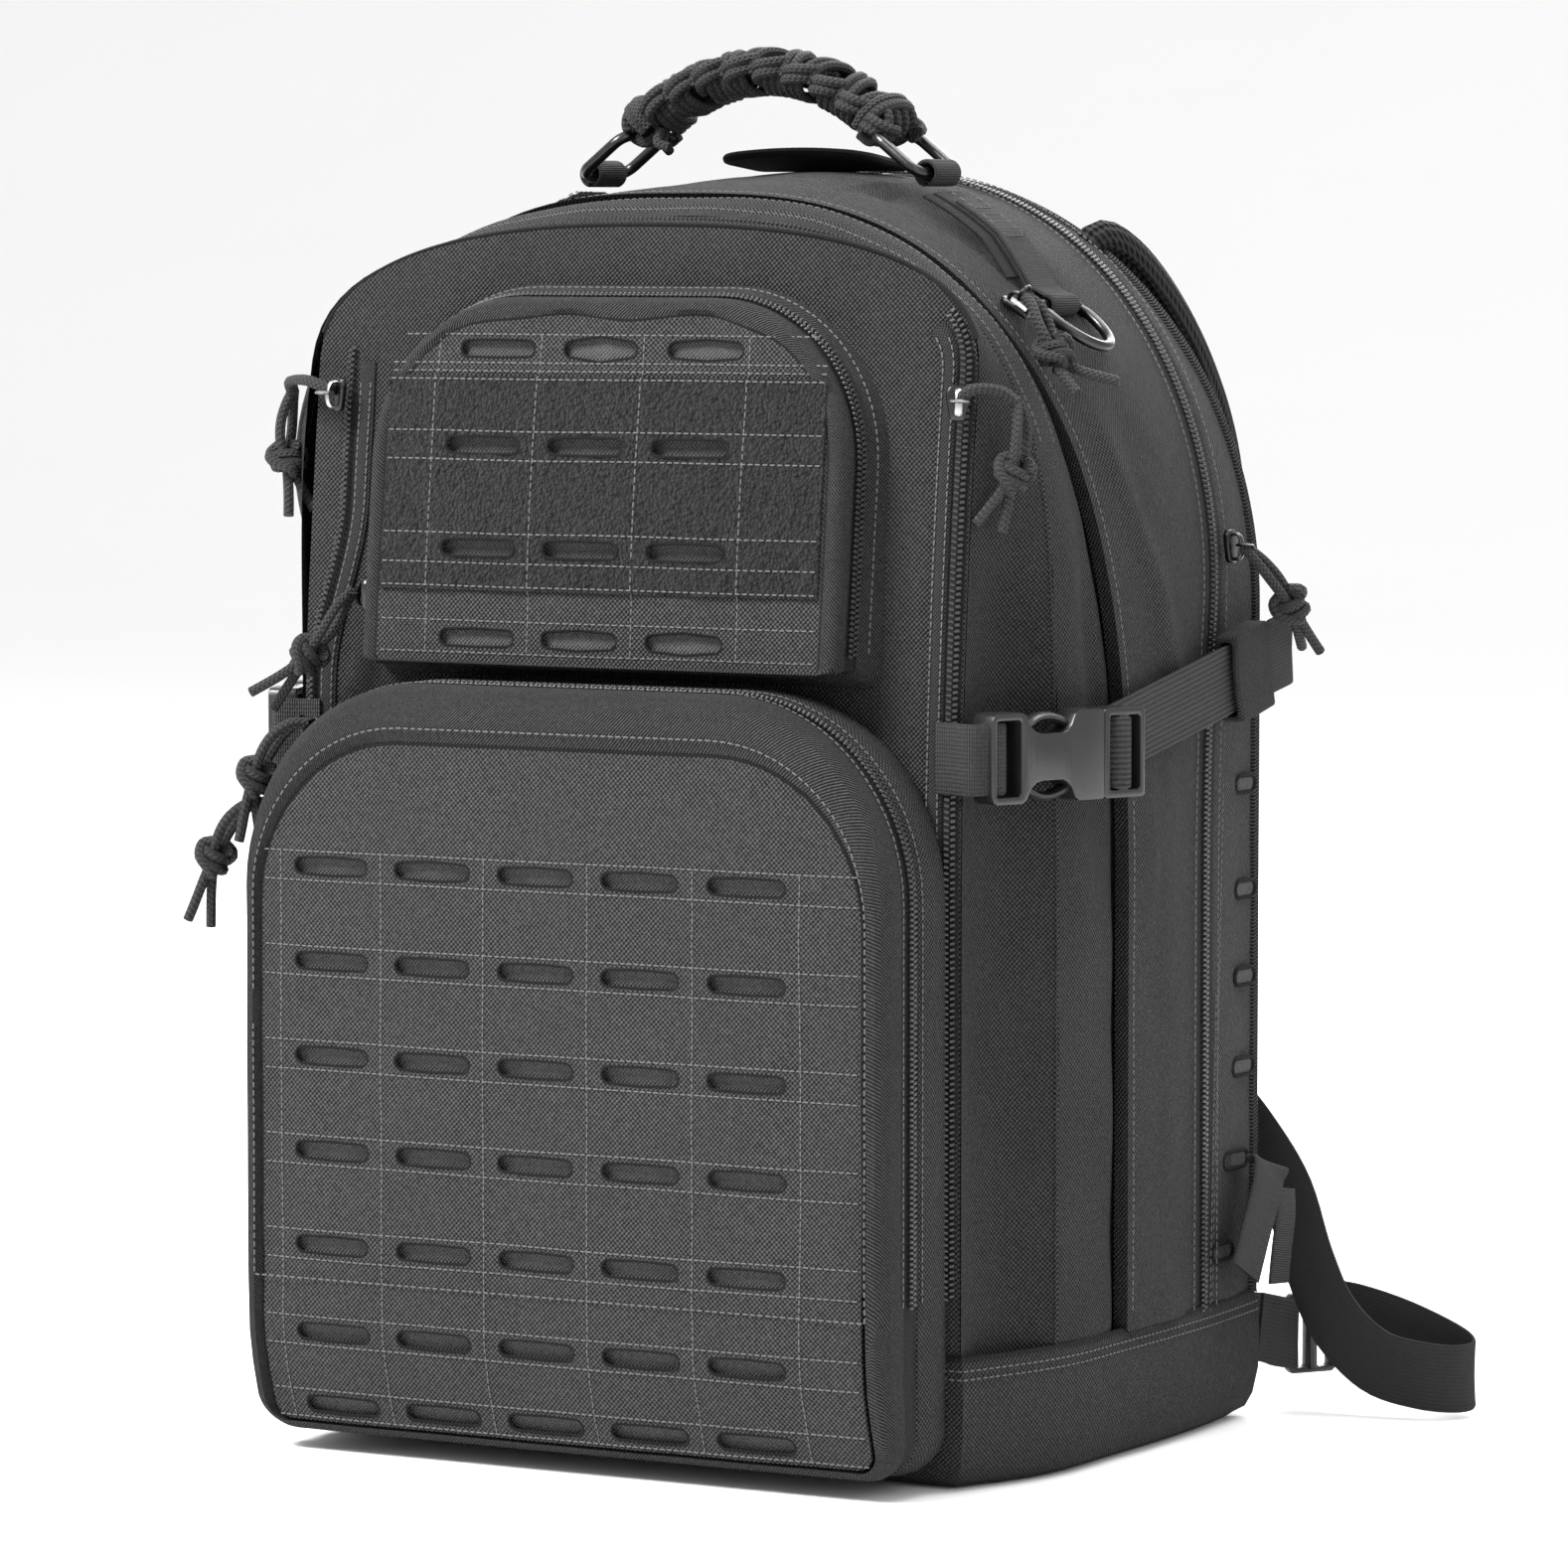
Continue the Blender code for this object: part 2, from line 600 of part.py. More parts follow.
def shoulder_path(side):
    """The strap from beside the handle loop over the shoulder, ending in a curl round the D-ring's bar."""
    points = []
    for i in range(9):
        x = 0.060 + 0.052 * i / 8
        points.append(Vector((side * x, HANDLE_Y, top_height(x, HANDLE_Y) + 0.0026)))
    way = (points[-1] - points[-2]).normalized()
    out = Vector((-way.z * side, 0, way.x * side))
    bar = points[-1] + way * 0.0062 + out * 0.0034
    for step in range(9):
        turn = math.radians(-90 + 30 * step)
        points.append(bar + (way * math.cos(turn) + out * math.sin(turn)) * 0.0034)
    return points, bar, way, out


def shoulder_fittings():
    for side, word in ((1, "right"), (-1, "left")):
        path, bar, way, out = shoulder_path(side)
        section = box_section(0.020, 0.0014)
        sweep("shoulder_webbing_" + word, path, section, Vector((0, 1, 0)), "webbing")
        wide = Vector((0, 1, 0))
        ring = [bar - wide * 0.0135, bar, bar + wide * 0.0135]
        for step in range(9):
            turn = math.radians(90 - 22.5 * step)
            ring.append(bar + way * (0.006 + 0.015 * math.cos(turn)) + wide * 0.0135 * math.sin(turn))
        sweep("d_ring_" + word, ring, round_section(0.0019, 6), out, "black_steel", bar, None, True)


def cable_port_flap():
    """The small flap behind the handle that covers a pass-through."""
    hinge = Vector((0.0, 0.050, top_height(0.0, 0.050) + 0.0025))
    outline = rounded_rect(-0.034, 0.034, 0.0, 0.031, 0.003, 0.008, steps=3)
    tilt = Matrix.Rotation(math.radians(-6), 3, "X")
    place = lambda u, v, depth: hinge + tilt @ Vector((u, -v, depth))
    plate("cable_port_flap", outline, [], 0.0022, place, "binding", hinge)


# ---------------------------------------------------------------- compression straps
def chord(along, out=0.0, up=0.0):
    """A point on the buckle's line: along it, out of the pack, and up."""
    return CHORD_START + CHORD_WAY * along + CHORD_OUT * out + Vector((0, 0, up))


def rear_strap_path(side):
    """From under the plug's end back to the rear seam, rising on the way."""
    places = ((0.1570, -0.0475), (0.1566, -0.030), (0.1570, 0.0), (0.1582, 0.030), (0.1582, 0.066), (0.1582, 0.096))
    start, end = places[0][1], places[-1][1]
    return [Vector((side * x, y, STRAP_Z + STRAP_RISE * (y - start) / (end - start))) for x, y in places]


def add_cutter(name, centre, axes, sizes):
    """A box that a Boolean takes away."""
    corners = []
    for i in (-0.5, 0.5):
        for j in (-0.5, 0.5):
            for k in (-0.5, 0.5):
                corners.append(centre + axes[0] * sizes[0] * i + axes[1] * sizes[1] * j + axes[2] * sizes[2] * k)
    faces = [(0, 1, 3, 2), (4, 6, 7, 5), (0, 4, 5, 1), (2, 3, 7, 6), (0, 2, 6, 4), (1, 5, 7, 3)]
    cutter = add_object(name, corners, faces, "acetal")
    cutter.hide_render = True
    cutter.display_type = "WIRE"
    return cutter


def buckle_socket(side, word):
    """The buckle's female half: a webbing bar at the front and a mouth at the back."""
    start, end = SOCKET_SPAN
    outline = rounded_rect(start, end, -BUCKLE_HALF_HIGH, BUCKLE_HALF_HIGH, 0.003, 0.003, steps=2)
    window = rounded_rect(start + 0.0035, start + 0.0085, -0.0133, 0.0133, 0.0008, 0.0008, steps=1)
    place = lambda u, v, depth: mirrored(chord(u, depth - BUCKLE_THICK / 2, v), side)
    socket = plate("buckle_socket_" + word, outline, [window], BUCKLE_THICK, place, "acetal")
    axes = [mirrored(CHORD_WAY, side), Vector((0, 0, 1)), mirrored(CHORD_OUT, side)]
    centre = mirrored(chord((0.030 + end + 0.004) / 2), side)
    mouth = add_cutter("mouth_cutter_" + word, centre, axes, (end + 0.004 - 0.030, 0.0252, 0.0066))
    cut = socket.modifiers.new("mouth", "BOOLEAN")
    cut.operation = "DIFFERENCE"
    cut.solver = "EXACT"
    cut.object = mouth


def buckle_plug(side, word):
    """The buckle's male half: two prongs, a centre guide and a two-slot tail."""
    start, end = PLUG_SPAN
    half = BUCKLE_HALF_HIGH
    outline = [
        (start, -half), (end, -half), (end, half), (start, half),
        (start, 0.0118), (0.040, 0.0112), (0.036, 0.0090), (0.040, 0.0072), (start, 0.0066),
        (start, 0.0018), (0.042, 0.0014), (0.042, -0.0014), (start, -0.0018),
        (start, -0.0066), (0.040, -0.0072), (0.036, -0.0090), (0.040, -0.0112), (start, -0.0118),
    ]
    slots = [
        rounded_rect(left, left + 0.0045, -0.0133, 0.0133, 0.0008, 0.0008, steps=1) for left in (0.0635, 0.0713)
    ]
    thick = 0.0050
    place = lambda u, v, depth: mirrored(chord(u, depth - thick / 2, v), side)
    pivot = mirrored(chord(start), side)
    plate("buckle_plug_" + word, outline, slots, thick, place, "acetal", pivot)


def compression_strap(side, word):
    up = Vector((0, 0, 1))
    path = [mirrored(Vector(point), side) for point in ((0.1285, -0.1068, STRAP_Z), (0.1345, -0.1078, STRAP_Z))]
    path += [mirrored(chord(along), side) for along in (0.0028, SOCKET_SPAN[0] - 2 * GAP)]
    sweep("strap_front_" + word, path, box_section(WEBBING_WIDTH, WEBBING_THICK), up, "webbing")
    buckle_socket(side, word)
    buckle_plug(side, word)
    rear = rear_strap_path(side)
    sweep("strap_rear_" + word, rear, box_section(WEBBING_WIDTH, 2 * WEBBING_THICK), up, "webbing")
    way = (rear[-1] - rear[-2]).normalized()
    across = (up - way * up.dot(way)).normalized()
    out = mirrored(Vector((1, 0, 0)), side)
    loops = []
    for along, grow in ((-0.014, 0.002), (0.014, 0.002), (0.014, 0.0), (-0.014, 0.0)):
        outline = rounded_rect(-0.0145 - grow, 0.0145 + grow, -0.0029 - grow, 0.0029 + grow, 0.001, 0.001, steps=1)
        loops.append([rear[-2] + way * along + across * u + out * v for u, v in outline])
    ring_solid("strap_keeper_" + word, loops, "acetal", rear[-2])


# ---------------------------------------------------------------- zip sliders and their cord pulls
def slider(name, centre, along, out):
    """A slider body that straddles its coil, with a bail for the cord."""
    across = along.cross(out).normalized()
    half_long, half_wide = 0.0060, 0.0042
    outline = [
        (-half_long, -half_wide * 0.6), (half_long * 0.4, -half_wide), (half_long, -half_wide * 0.7),
        (half_long, half_wide * 0.7), (half_long * 0.4, half_wide), (-half_long, half_wide * 0.6),
    ]
    place = lambda u, v, depth: centre + along * u + across * v + out * depth
    plate(name, outline, [], 0.0032, place, "steel", centre)


def pull_cord(name, start, points):
    """A doubled paracord pull as one body: the loop, the knot and the two tails."""
    path = smooth_path([start] + points, 4)
    scales = []
    for i in range(len(path)):
        t = i / (len(path) - 1)
        knot = math.exp(-(((t - 0.60) / 0.10) ** 2))
        scales.append(1.0 + 1.5 * knot)
    sweep(name, path, round_section(0.0030, 6), Vector((0.31, 0.94, 0.12)), "paracord", start, scales)


def sliders():
    """Each slider sits on its coil; its pull hangs clear of the shell."""
    x_out = Vector((1, 0, 0))
    for side, word in ((1, "right"), (-1, "left")):
        z = 0.3770
        centre = Vector((side * (front_zip_x(z) + 0.0013), lean(FRONT_EDGE, z) + 0.0045, z))
        low = Vector((centre.x, lean(FRONT_EDGE, 0.2) + 0.0045, 0.2))
        along = (centre - low).normalized()
        slider("slider_front_" + word, centre, along, x_out * side)
        start = centre + Vector((side * 0.0065, 0, 0))
        hang = [start + Vector((side * x, y, z)) for x, y, z in PULL_HANG]
        pull_cord("pull_cord_front_" + word, start, hang)
    rear, below = rear_zip_place(REAR_SLIDER_Z), rear_zip_place(REAR_SLIDER_Z - 0.018)
    slider("slider_rear", rear, (rear - below).normalized(), x_out)
    start = rear + x_out * 0.0065
    pull_cord("pull_cord_rear", start, [start + Vector(step) for step in REAR_PULL_HANG])
    main_slider()
    pocket_sliders()


def main_slider():
    """The main compartment's slider, on the shoulder of the storm seam."""
    half, height, spring, power, _, _ = STORM_SEAM
    x = 0.1180
    z = spring + (height - spring) * (1 - (x / half) ** power) ** (1 / power)
    step = 0.002
    z_next = spring + (height - spring) * (1 - ((x - step) / half) ** power) ** (1 / power)
    along = Vector((-step, 0, z_next - z)).normalized()
    out = Vector((along.z, 0, -along.x))
    centre = Vector((x, lean(STORM_SEAM, z) + 0.012, z)) + out * 0.0012
    slider("slider_main", centre, along, out)
    start = centre + out * 0.0070
    hang = ((0.005, -0.001, -0.001), (0.012, -0.003, -0.008), (0.018, -0.004, -0.019), (0.024, -0.004, -0.034))
    pull_cord("pull_cord_main", start, [start + Vector(step) for step in hang])


def pocket_sliders():
    """The lower slider rides the zip's round corner; the upper one its straight left side."""
    turn = math.radians(135)
    middle = Vector((-LOWER_HALF + LOWER_RADIUS, LOWER_ZIP_Y + ZIP_THICK / 2, LOWER_TOP - LOWER_RADIUS))
    out = Vector((math.cos(turn), 0, math.sin(turn)))
    centre = middle + out * (LOWER_RADIUS + 0.0006)
    slider("slider_lower", centre, Vector((-out.z, 0, out.x)), out)
    start = centre + out * 0.0062
    hang = ((-0.005, -0.002, 0.001), (-0.012, -0.004, -0.006), (-0.016, -0.004, -0.020), (-0.017, -0.004, -0.040))
    pull_cord("pull_cord_lower", start, [start + Vector(step) for step in hang])
    z = 0.3080
    y = upper_line((UPPER_DEPTHS[1] + UPPER_DEPTHS[2]) / 2)(z)
    centre = Vector((-UPPER_HALF - 0.0006, y, z))
    slider("slider_upper", centre, Vector((0, 0, 1)), Vector((-1, 0, 0)))
    start = centre + Vector((-0.0062, 0, 0))
    hang = ((-0.004, 0.000, 0.000), (-0.010, -0.002, -0.003), (-0.017, -0.006, -0.006), (-0.028, -0.012, -0.009))
    pull_cord("pull_cord_upper", start, [start + Vector(step) for step in hang])


# ---------------------------------------------------------------- shoulder straps
def shoulder_strap(side, word):
    """The padded strap, from the top of the back panel down in a bow."""
    route = [
        (0.050, 0.1100, 0.442), (0.059, 0.1200, 0.425), (0.068, 0.1330, 0.393), (0.0765, 0.142, 0.350),
        (0.081, 0.144, 0.300), (0.082, 0.140, 0.235), (0.086, 0.133, 0.170), (0.098, 0.128, 0.125),
    ]
    path = smooth_path([(side * x, y, z) for x, y, z in route], 4)
    across = [Vector((1, side * 0.25 * min(1, i / 10), 0)) for i in range(len(path))]
    pad = [(-0.030, -0.0015), (-0.024, -0.006), (0.024, -0.006), (0.030, -0.0015),
           (0.030, 0.0015), (0.024, 0.006), (-0.024, 0.006), (-0.030, 0.0015)]
    scales = [1.0 if i < len(path) - 5 else 1.0 - 0.09 * (i - len(path) + 5) for i in range(len(path))]
    sweep("shoulder_strap_" + word, path, pad, across, "air_mesh", (0, 0, 0), scales)


def corner_tab(side, word, base):
    """The webbing tab from the base's rear corner that holds the ladder lock, joined to the base."""
    points = ((0.1437, 0.0985, 0.0325), (0.1437, 0.1120, 0.0310), (0.1428, 0.1240, 0.0280), (0.1414, 0.1350, 0.0252))
    path = [Vector((side * x, y, z)) for x, y, z in points]
    section = box_section(WEBBING_WIDTH, WEBBING_THICK)
    tab = sweep("corner_tab_" + word, path, section, Vector((0, 0, 1)), "webbing")
    tab.hide_render = True
    tab.display_type = "WIRE"
    join = base.modifiers.new("tab_" + word, "BOOLEAN")
    join.operation = "UNION"
    join.solver = "EXACT"
    join.object = tab


def lower_fittings(side, word):
    """The corner tab's ladder lock and the adjuster webbing that runs from the shoulder strap to it."""
    hinge = Vector((side * 0.1416, 0.1384, 0.0250))
    way = Vector((side * 0.55, 0.835, 0)).normalized()
    out = Vector((side * 0.835, -0.55, 0)).normalized()
    outline = rounded_rect(0.0, 0.022, -0.0150, 0.0150, 0.002, 0.002, steps=1)
    windows = [rounded_rect(u, u + 0.004, -0.0128, 0.0128, 0.0008, 0.0008, steps=1) for u in (0.0035, 0.0140)]
    place = lambda u, v, depth: hinge + way * u + Vector((0, 0, v)) + out * (depth - 0.002)
    plate("ladder_lock_" + word, outline, windows, 0.004, place, "acetal", hinge)
    route = [
        (0.1165, 0.1290, 0.1180), (0.1330, 0.1290, 0.0990), (0.1475, 0.1268, 0.0795), (0.1580, 0.1240, 0.0540),
        (0.1690, 0.1220, 0.0345), (0.1860, 0.1210, 0.0205), (0.2040, 0.1230, 0.0160), (0.2170, 0.1290, 0.0150),
        (0.2185, 0.1370, 0.0165), (0.2080, 0.1445, 0.0200), (0.1850, 0.1490, 0.0270), (0.1640, 0.1490, 0.0320),
    ]
    share = LOOP_SHARE[word]
    route = [(x if x < LOOP_ROOT else LOOP_ROOT + (x - LOOP_ROOT) * share, y, z) for x, y, z in route]
    path = smooth_path([(side * x, y, z) for x, y, z in route[: 12 if share == 1.0 else 11]], 3)
    across = []
    for i in range(len(path)):
        t = min(1.0, i / (len(path) * 0.5))
        across.append(Vector((side * 0.78 * (1 - t), -0.20 * (1 - t), 0.35 + 0.65 * t)))
    section = box_section(WEBBING_WIDTH, WEBBING_THICK)
    sweep("adjuster_webbing_" + word, path, section, across, "webbing")


def main():
    clear_scene()
    shell()
    shell_zips()
    lower_pocket()
    upper_pocket()
    handle()
    shoulder_fittings()
    cable_port_flap()
    for side, word in ((1, "right"), (-1, "left")):
        compression_strap(side, word)
        shoulder_strap(side, word)
        lower_fittings(side, word)
    sliders()


main()
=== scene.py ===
"""Looks of the trauma backpack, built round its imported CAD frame. Metres, +Z up, the front faces -Y."""

import json
import math

import bmesh
import bpy
import numpy as np
from mathutils import Matrix, Vector, noise
from mathutils.geometry import delaunay_2d_cdt


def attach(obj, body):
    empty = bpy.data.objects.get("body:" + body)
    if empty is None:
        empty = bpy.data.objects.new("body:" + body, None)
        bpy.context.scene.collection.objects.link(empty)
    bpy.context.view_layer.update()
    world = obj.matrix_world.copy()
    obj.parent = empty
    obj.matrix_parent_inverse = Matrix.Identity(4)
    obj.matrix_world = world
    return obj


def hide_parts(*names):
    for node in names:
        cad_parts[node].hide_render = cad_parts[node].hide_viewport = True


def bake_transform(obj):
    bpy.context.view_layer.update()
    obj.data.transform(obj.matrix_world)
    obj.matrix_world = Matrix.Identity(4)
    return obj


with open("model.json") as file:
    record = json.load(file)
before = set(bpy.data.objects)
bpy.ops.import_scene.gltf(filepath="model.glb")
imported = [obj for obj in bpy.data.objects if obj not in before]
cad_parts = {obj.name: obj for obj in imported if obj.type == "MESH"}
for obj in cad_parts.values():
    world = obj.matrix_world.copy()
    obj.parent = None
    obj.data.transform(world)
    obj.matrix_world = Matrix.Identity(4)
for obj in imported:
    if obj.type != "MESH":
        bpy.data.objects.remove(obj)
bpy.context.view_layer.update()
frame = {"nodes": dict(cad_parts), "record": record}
V = Vector
UP, X_AXIS, Y_AXIS, FORWARD = V((0, 0, 1)), V((1, 0, 0)), V((0, 1, 0)), V((0, -1, 0))
SIDES = ((1, "right"), (-1, "left"))

# ---------------------------------------------------------------- shape of the CAD frame, repeated
BASE_TOP, FRONT_Y, BACK_Y, LEAN_START = 0.046, -0.105, 0.098, 0.2
FRONT_EDGE = (0.136, 0.438, 0.386, 2.5, FRONT_Y, -0.086)
CREASE_SEAM = (0.15, 0.4405, 0.305, 2.9, -0.061, -0.083)
STORM_SEAM = (0.151, 0.4485, 0.24, 2.9, -0.013, -0.063)
REAR_ZIP = (0.15, 0.456, 0.3, 2.0, 0.05, 0.085)
BACK_EDGE = (0.146, 0.455, 0.3, 2.0, BACK_Y, BACK_Y)
LOWER_HALF, LOWER_TOP, LOWER_BOTTOM, LOWER_RADIUS = 0.131, 0.276, 0.008, 0.07
LOWER_ZIP_Y, LOWER_FRONT_Y, FOLD_Z = -0.132, -0.15, 0.0605
UPPER_HALF, UPPER_BOTTOM, UPPER_TOP, UPPER_RADIUS = 0.102, 0.2795, 0.417, 0.062
PITCH, SLOT_LONG, SLOT_HIGH = 0.0426, 0.031, 0.006
BAND_FOOT = 0.352  # where the twill top band ends on each flank
LOWER_ROWS = [0.2115 - 0.0338 * row for row in range(5)] + [0.045, 0.018]
UPPER_ROWS = (0.2926, 0.3243, 0.3605, 0.3945)
PILE_FOOT, PILE_TOP, HANDLE_Y = 0.3095, 0.385, -0.003


def ramp(value):
    """The value kept between 0 and 1."""
    return min(1.0, max(0.0, value))


def lean(profile, z):
    _, height, _, _, low_y, crown_y = profile
    t = ramp((z - LEAN_START) / (height - LEAN_START))
    return low_y + (crown_y - low_y) * t * t


def arch(profile, inset=0.0, count=150):
    """Points along an arch from its right foot to its left, moved inwards by inset."""
    half, height, spring, power = profile[:4]
    dense = [V((half, 0, BASE_TOP))]
    for step in range(301):
        turn = math.pi * step / 300
        across = math.copysign(abs(math.cos(turn)) ** (2 / power), math.cos(turn))
        dense.append(V((half * across, 0, spring + (height - spring) * abs(math.sin(turn)) ** (2 / power))))
    dense.append(V((-half, 0, BASE_TOP)))
    return [V((p.x - way.z * inset, lean(profile, p.z), p.z + way.x * inset)) for p,
            way in resample(dense, count)]


def upper_y(depth, z):
    low, high = lean(FRONT_EDGE, UPPER_BOTTOM), lean(FRONT_EDGE, UPPER_TOP)
    return low + (high - low) * (z - UPPER_BOTTOM) / (UPPER_TOP - UPPER_BOTTOM) - depth


def top_height(x, y):
    """Height of the shell's top between the storm seam and the rear zip."""
    heights = []
    for half, height, spring, power, _, _ in (STORM_SEAM, REAR_ZIP):
        heights.append(spring + (height - spring) * (1 - min(abs(x) / half, 0.999) ** power) ** (1 / power))
    ends = [lean(profile, z) for profile, z in zip((STORM_SEAM, REAR_ZIP), heights)]
    t = ramp((y - ends[0]) / (ends[1] - ends[0]))
    return heights[0] + (heights[1] - heights[0]) * t


# ---------------------------------------------------------------- curves
def resample(path, count):
    """(point, direction) pairs evenly spaced along a polyline."""
    at = np.array([tuple(p) for p in path])
    steps = np.linalg.norm(np.diff(at, axis=0), axis=1)
    lengths = np.concatenate([[0], np.cumsum(steps)])
    places = np.linspace(0, lengths[-1], count)
    points = [V(p) for p in np.stack([np.interp(places, lengths, at[:, k]) for k in range(3)], 1)]
    pairs = []
    for i, point in enumerate(points):
        way = (points[min(i + 1, count - 1)] - points[max(i - 1, 0)]).normalized()
        pairs.append((point, way))
    return pairs


def path_length(path):
    return sum((b - a).length for a, b in zip(path, path[1:]))


def smooth_path(points, per_span=6):
    points = [V(point) for point in points]
    ends = [2 * points[0] - points[1]] + points + [2 * points[-1] - points[-2]]
    path = []
    for i in range(len(points) - 1):
        a, b, c, d = ends[i : i + 4]
        for step in range(per_span):
            t = step / per_span
            value = 2 * b + (c - a) * t + (2 * a - 5 * b + 4 * c - d) * t**2
            path.append(0.5 * (value + (3 * b - a - 3 * c + d) * t**3))
    return path + [points[-1]]


def rounded_rect(left, right, low, high, low_radius, high_radius, steps=14, cuts=16):
    """A rounded rectangle's outline, counter-clockwise from its lower right corner, of one point count."""
    corners = (
        (right - low_radius, low + low_radius, low_radius, -90),
        (right - high_radius, high - high_radius, high_radius, 0),
        (left + high_radius, high - high_radius, high_radius, 90),
        (left + low_radius, low + low_radius, low_radius, 180),
    )
    arcs = []
    for u, v, radius, start in corners:
        turns = [math.radians(start + 90 * step / steps) for step in range(steps + 1)]
        arcs.append([(u + radius * math.cos(turn), v + radius * math.sin(turn)) for turn in turns])
    outline = []
    for arc, following in zip(arcs, arcs[1:] + arcs[:1]):
        (ax, ay), (bx, by) = arc[-1], following[0]
        outline += arc + [(ax + (bx - ax) * k / cuts, ay + (by - ay) * k / cuts) for k in range(1, cuts)]
    return outline


def slot_outline(u, v, length=SLOT_LONG, high=SLOT_HIGH, gape=0.0):
    radius = high / 2
    reach = length / 2 - radius
    points = []
    for end, start in ((1, -90), (-1, 90)):
        for step in range(9):
            turn = math.radians(start + 180 * step / 8)
            points.append((u + end * reach + radius * math.cos(turn), v + radius * math.sin(turn)))
        points += [(u + end * reach * (1 - k / 3), v + end * (radius + gape * k / 3)) for k in (1, 2, 3)]
        points += [(u - end * reach * k / 3, v + end * (radius + gape * (1 - k / 3))) for k in (1, 2)]
    return points


def rough(point, scale, seed=0.0):
    """Smooth noise from -1 to 1, the same on every run."""
    return noise.noise(V(point) * scale + V((seed, seed * 1.7, -seed)))


# ---------------------------------------------------------------- mesh makers
def add(name, data, finish, body, sharp=40, blend=None, stands=None):
    """A mesh piece that rides on a CAD body, or stays unattached where it was made when blend is given, and
    stands for a CAD node if one is named.
    data holds its points, its faces and one UV pair in metres per face corner."""
    points, faces, uvs = data
    mesh = bpy.data.meshes.new(name)
    mesh.from_pydata([tuple(p) for p in points], [], faces)
    if uvs is not None:
        mesh.uv_layers.new(name="metres").data.foreach_set("uv", np.array(uvs, np.float32).ravel())
    mesh.materials.append(FINISH[finish])
    mesh.shade_smooth()
    mesh.set_sharp_from_angle(angle=math.radians(sharp))
    thing = bpy.data.objects.new(name, mesh)
    bpy.context.scene.collection.objects.link(thing)
    if blend:
        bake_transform(thing)
    else:
        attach(thing, body)
    if stands:
        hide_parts(stands)
    return thing


def steps_of(row, closed=False):
    total, lengths = 0.0, [0.0]
    for a, b in zip(row, row[1:] + (row[:1] if closed else [])):
        total += (b - a).length
        lengths.append(total)
    return lengths


def grid_data(rows, closed=False, caps=False):
    """Points, faces and metric UVs of a surface through rows of points."""
    n, m = len(rows[0]), len(rows)
    s = steps_of(rows[m // 2], closed)
    columns = [steps_of([row[j] for row in rows]) for j in range(n)]
    points = [p for row in rows for p in row]
    faces, uvs = [], []
    for i in range(m - 1):
        for j in range(n if closed else n - 1):
            k = (j + 1) % n
            faces.append((i * n + j, i * n + k, (i + 1) * n + k, (i + 1) * n + j))
            uvs += [(s[j], columns[j][i]), (s[j + 1], columns[k][i]), (s[j + 1], columns[k][i + 1]),
                    (s[j], columns[j][i + 1])]
    if caps:
        for start, turn in ((0, -1), ((m - 1) * n, 1)):
            face = [start + j for j in range(n)][::turn]
            faces.append(tuple(face))
            uvs += [(s[j - start], 0.0) for j in face]
    return points, faces, uvs


def grid(name, rows, finish, body, closed=False, caps=False, **more):
    return add(name, grid_data(rows, closed, caps), finish, body, **more)


def frames(path, side=None, closed=False):
    """An (across, out) pair at each point of a path: fixed to side, or carried along without twisting."""
    count, pairs = len(path), []
    carried = None
    for i in range(count):
        ahead = path[(i + 1) % count] if closed or i < count - 1 else path[i]
        behind = path[i - 1] if closed or i > 0 else path[i]
        way = (ahead - behind).normalized()
        if side is not None:
            across = side[i] if isinstance(side, list) else side
        else:
            across = carried or (UP if abs(way.z) < 0.9 else X_AXIS)
        across = (across - way * across.dot(way)).normalized()
        carried = across
        pairs.append((across, way.cross(across)))
    return pairs


def sweep_data(path, section, side=None, scales=None, closed=False, caps=True):
    rows = []
    for i, (across, out) in enumerate(frames(path, side, closed)):
        size = scales[i] if scales else 1.0
        rows.append([path[i] + (across * u + out * v) * size for u, v in section])
    if closed:
        rows.append(rows[0])
    return grid_data(rows, True, caps and not closed)


def sweep(name, path, section, finish, body, side=None, scales=None, closed=False, **more):
    return add(name, sweep_data(path, section, side, scales, closed), finish, body, **more)


def circle(radius, sides=10, squash=1.0):
    turns = [2 * math.pi * i / sides for i in range(sides)]
    return [(radius * math.cos(turn), radius * squash * math.sin(turn)) for turn in turns]


def strap_section(width, thick):
    """A flat band with rounded edges and a few points across."""
    u, v = width / 2, thick / 2
    top = [(u, -v * 0.4), (u, v * 0.4), (u - v, v), (u * 0.33, v), (-u * 0.33, v), (-u + v, v)]
    return top + [(-a, -b) for a, b in top]


class Bundle:
    """Several meshes gathered into one piece."""

    def __init__(self):
        self.points, self.faces, self.uvs = [], [], []

    def take(self, data):
        points, faces, uvs = data
        first = len(self.points)
        self.points += points
        self.faces += [tuple(first + i for i in face) for face in faces]
        self.uvs += uvs

    def piece(self, name, finish, body, **more):
        return add(name, (self.points, self.faces, self.uvs), finish, body, **more)


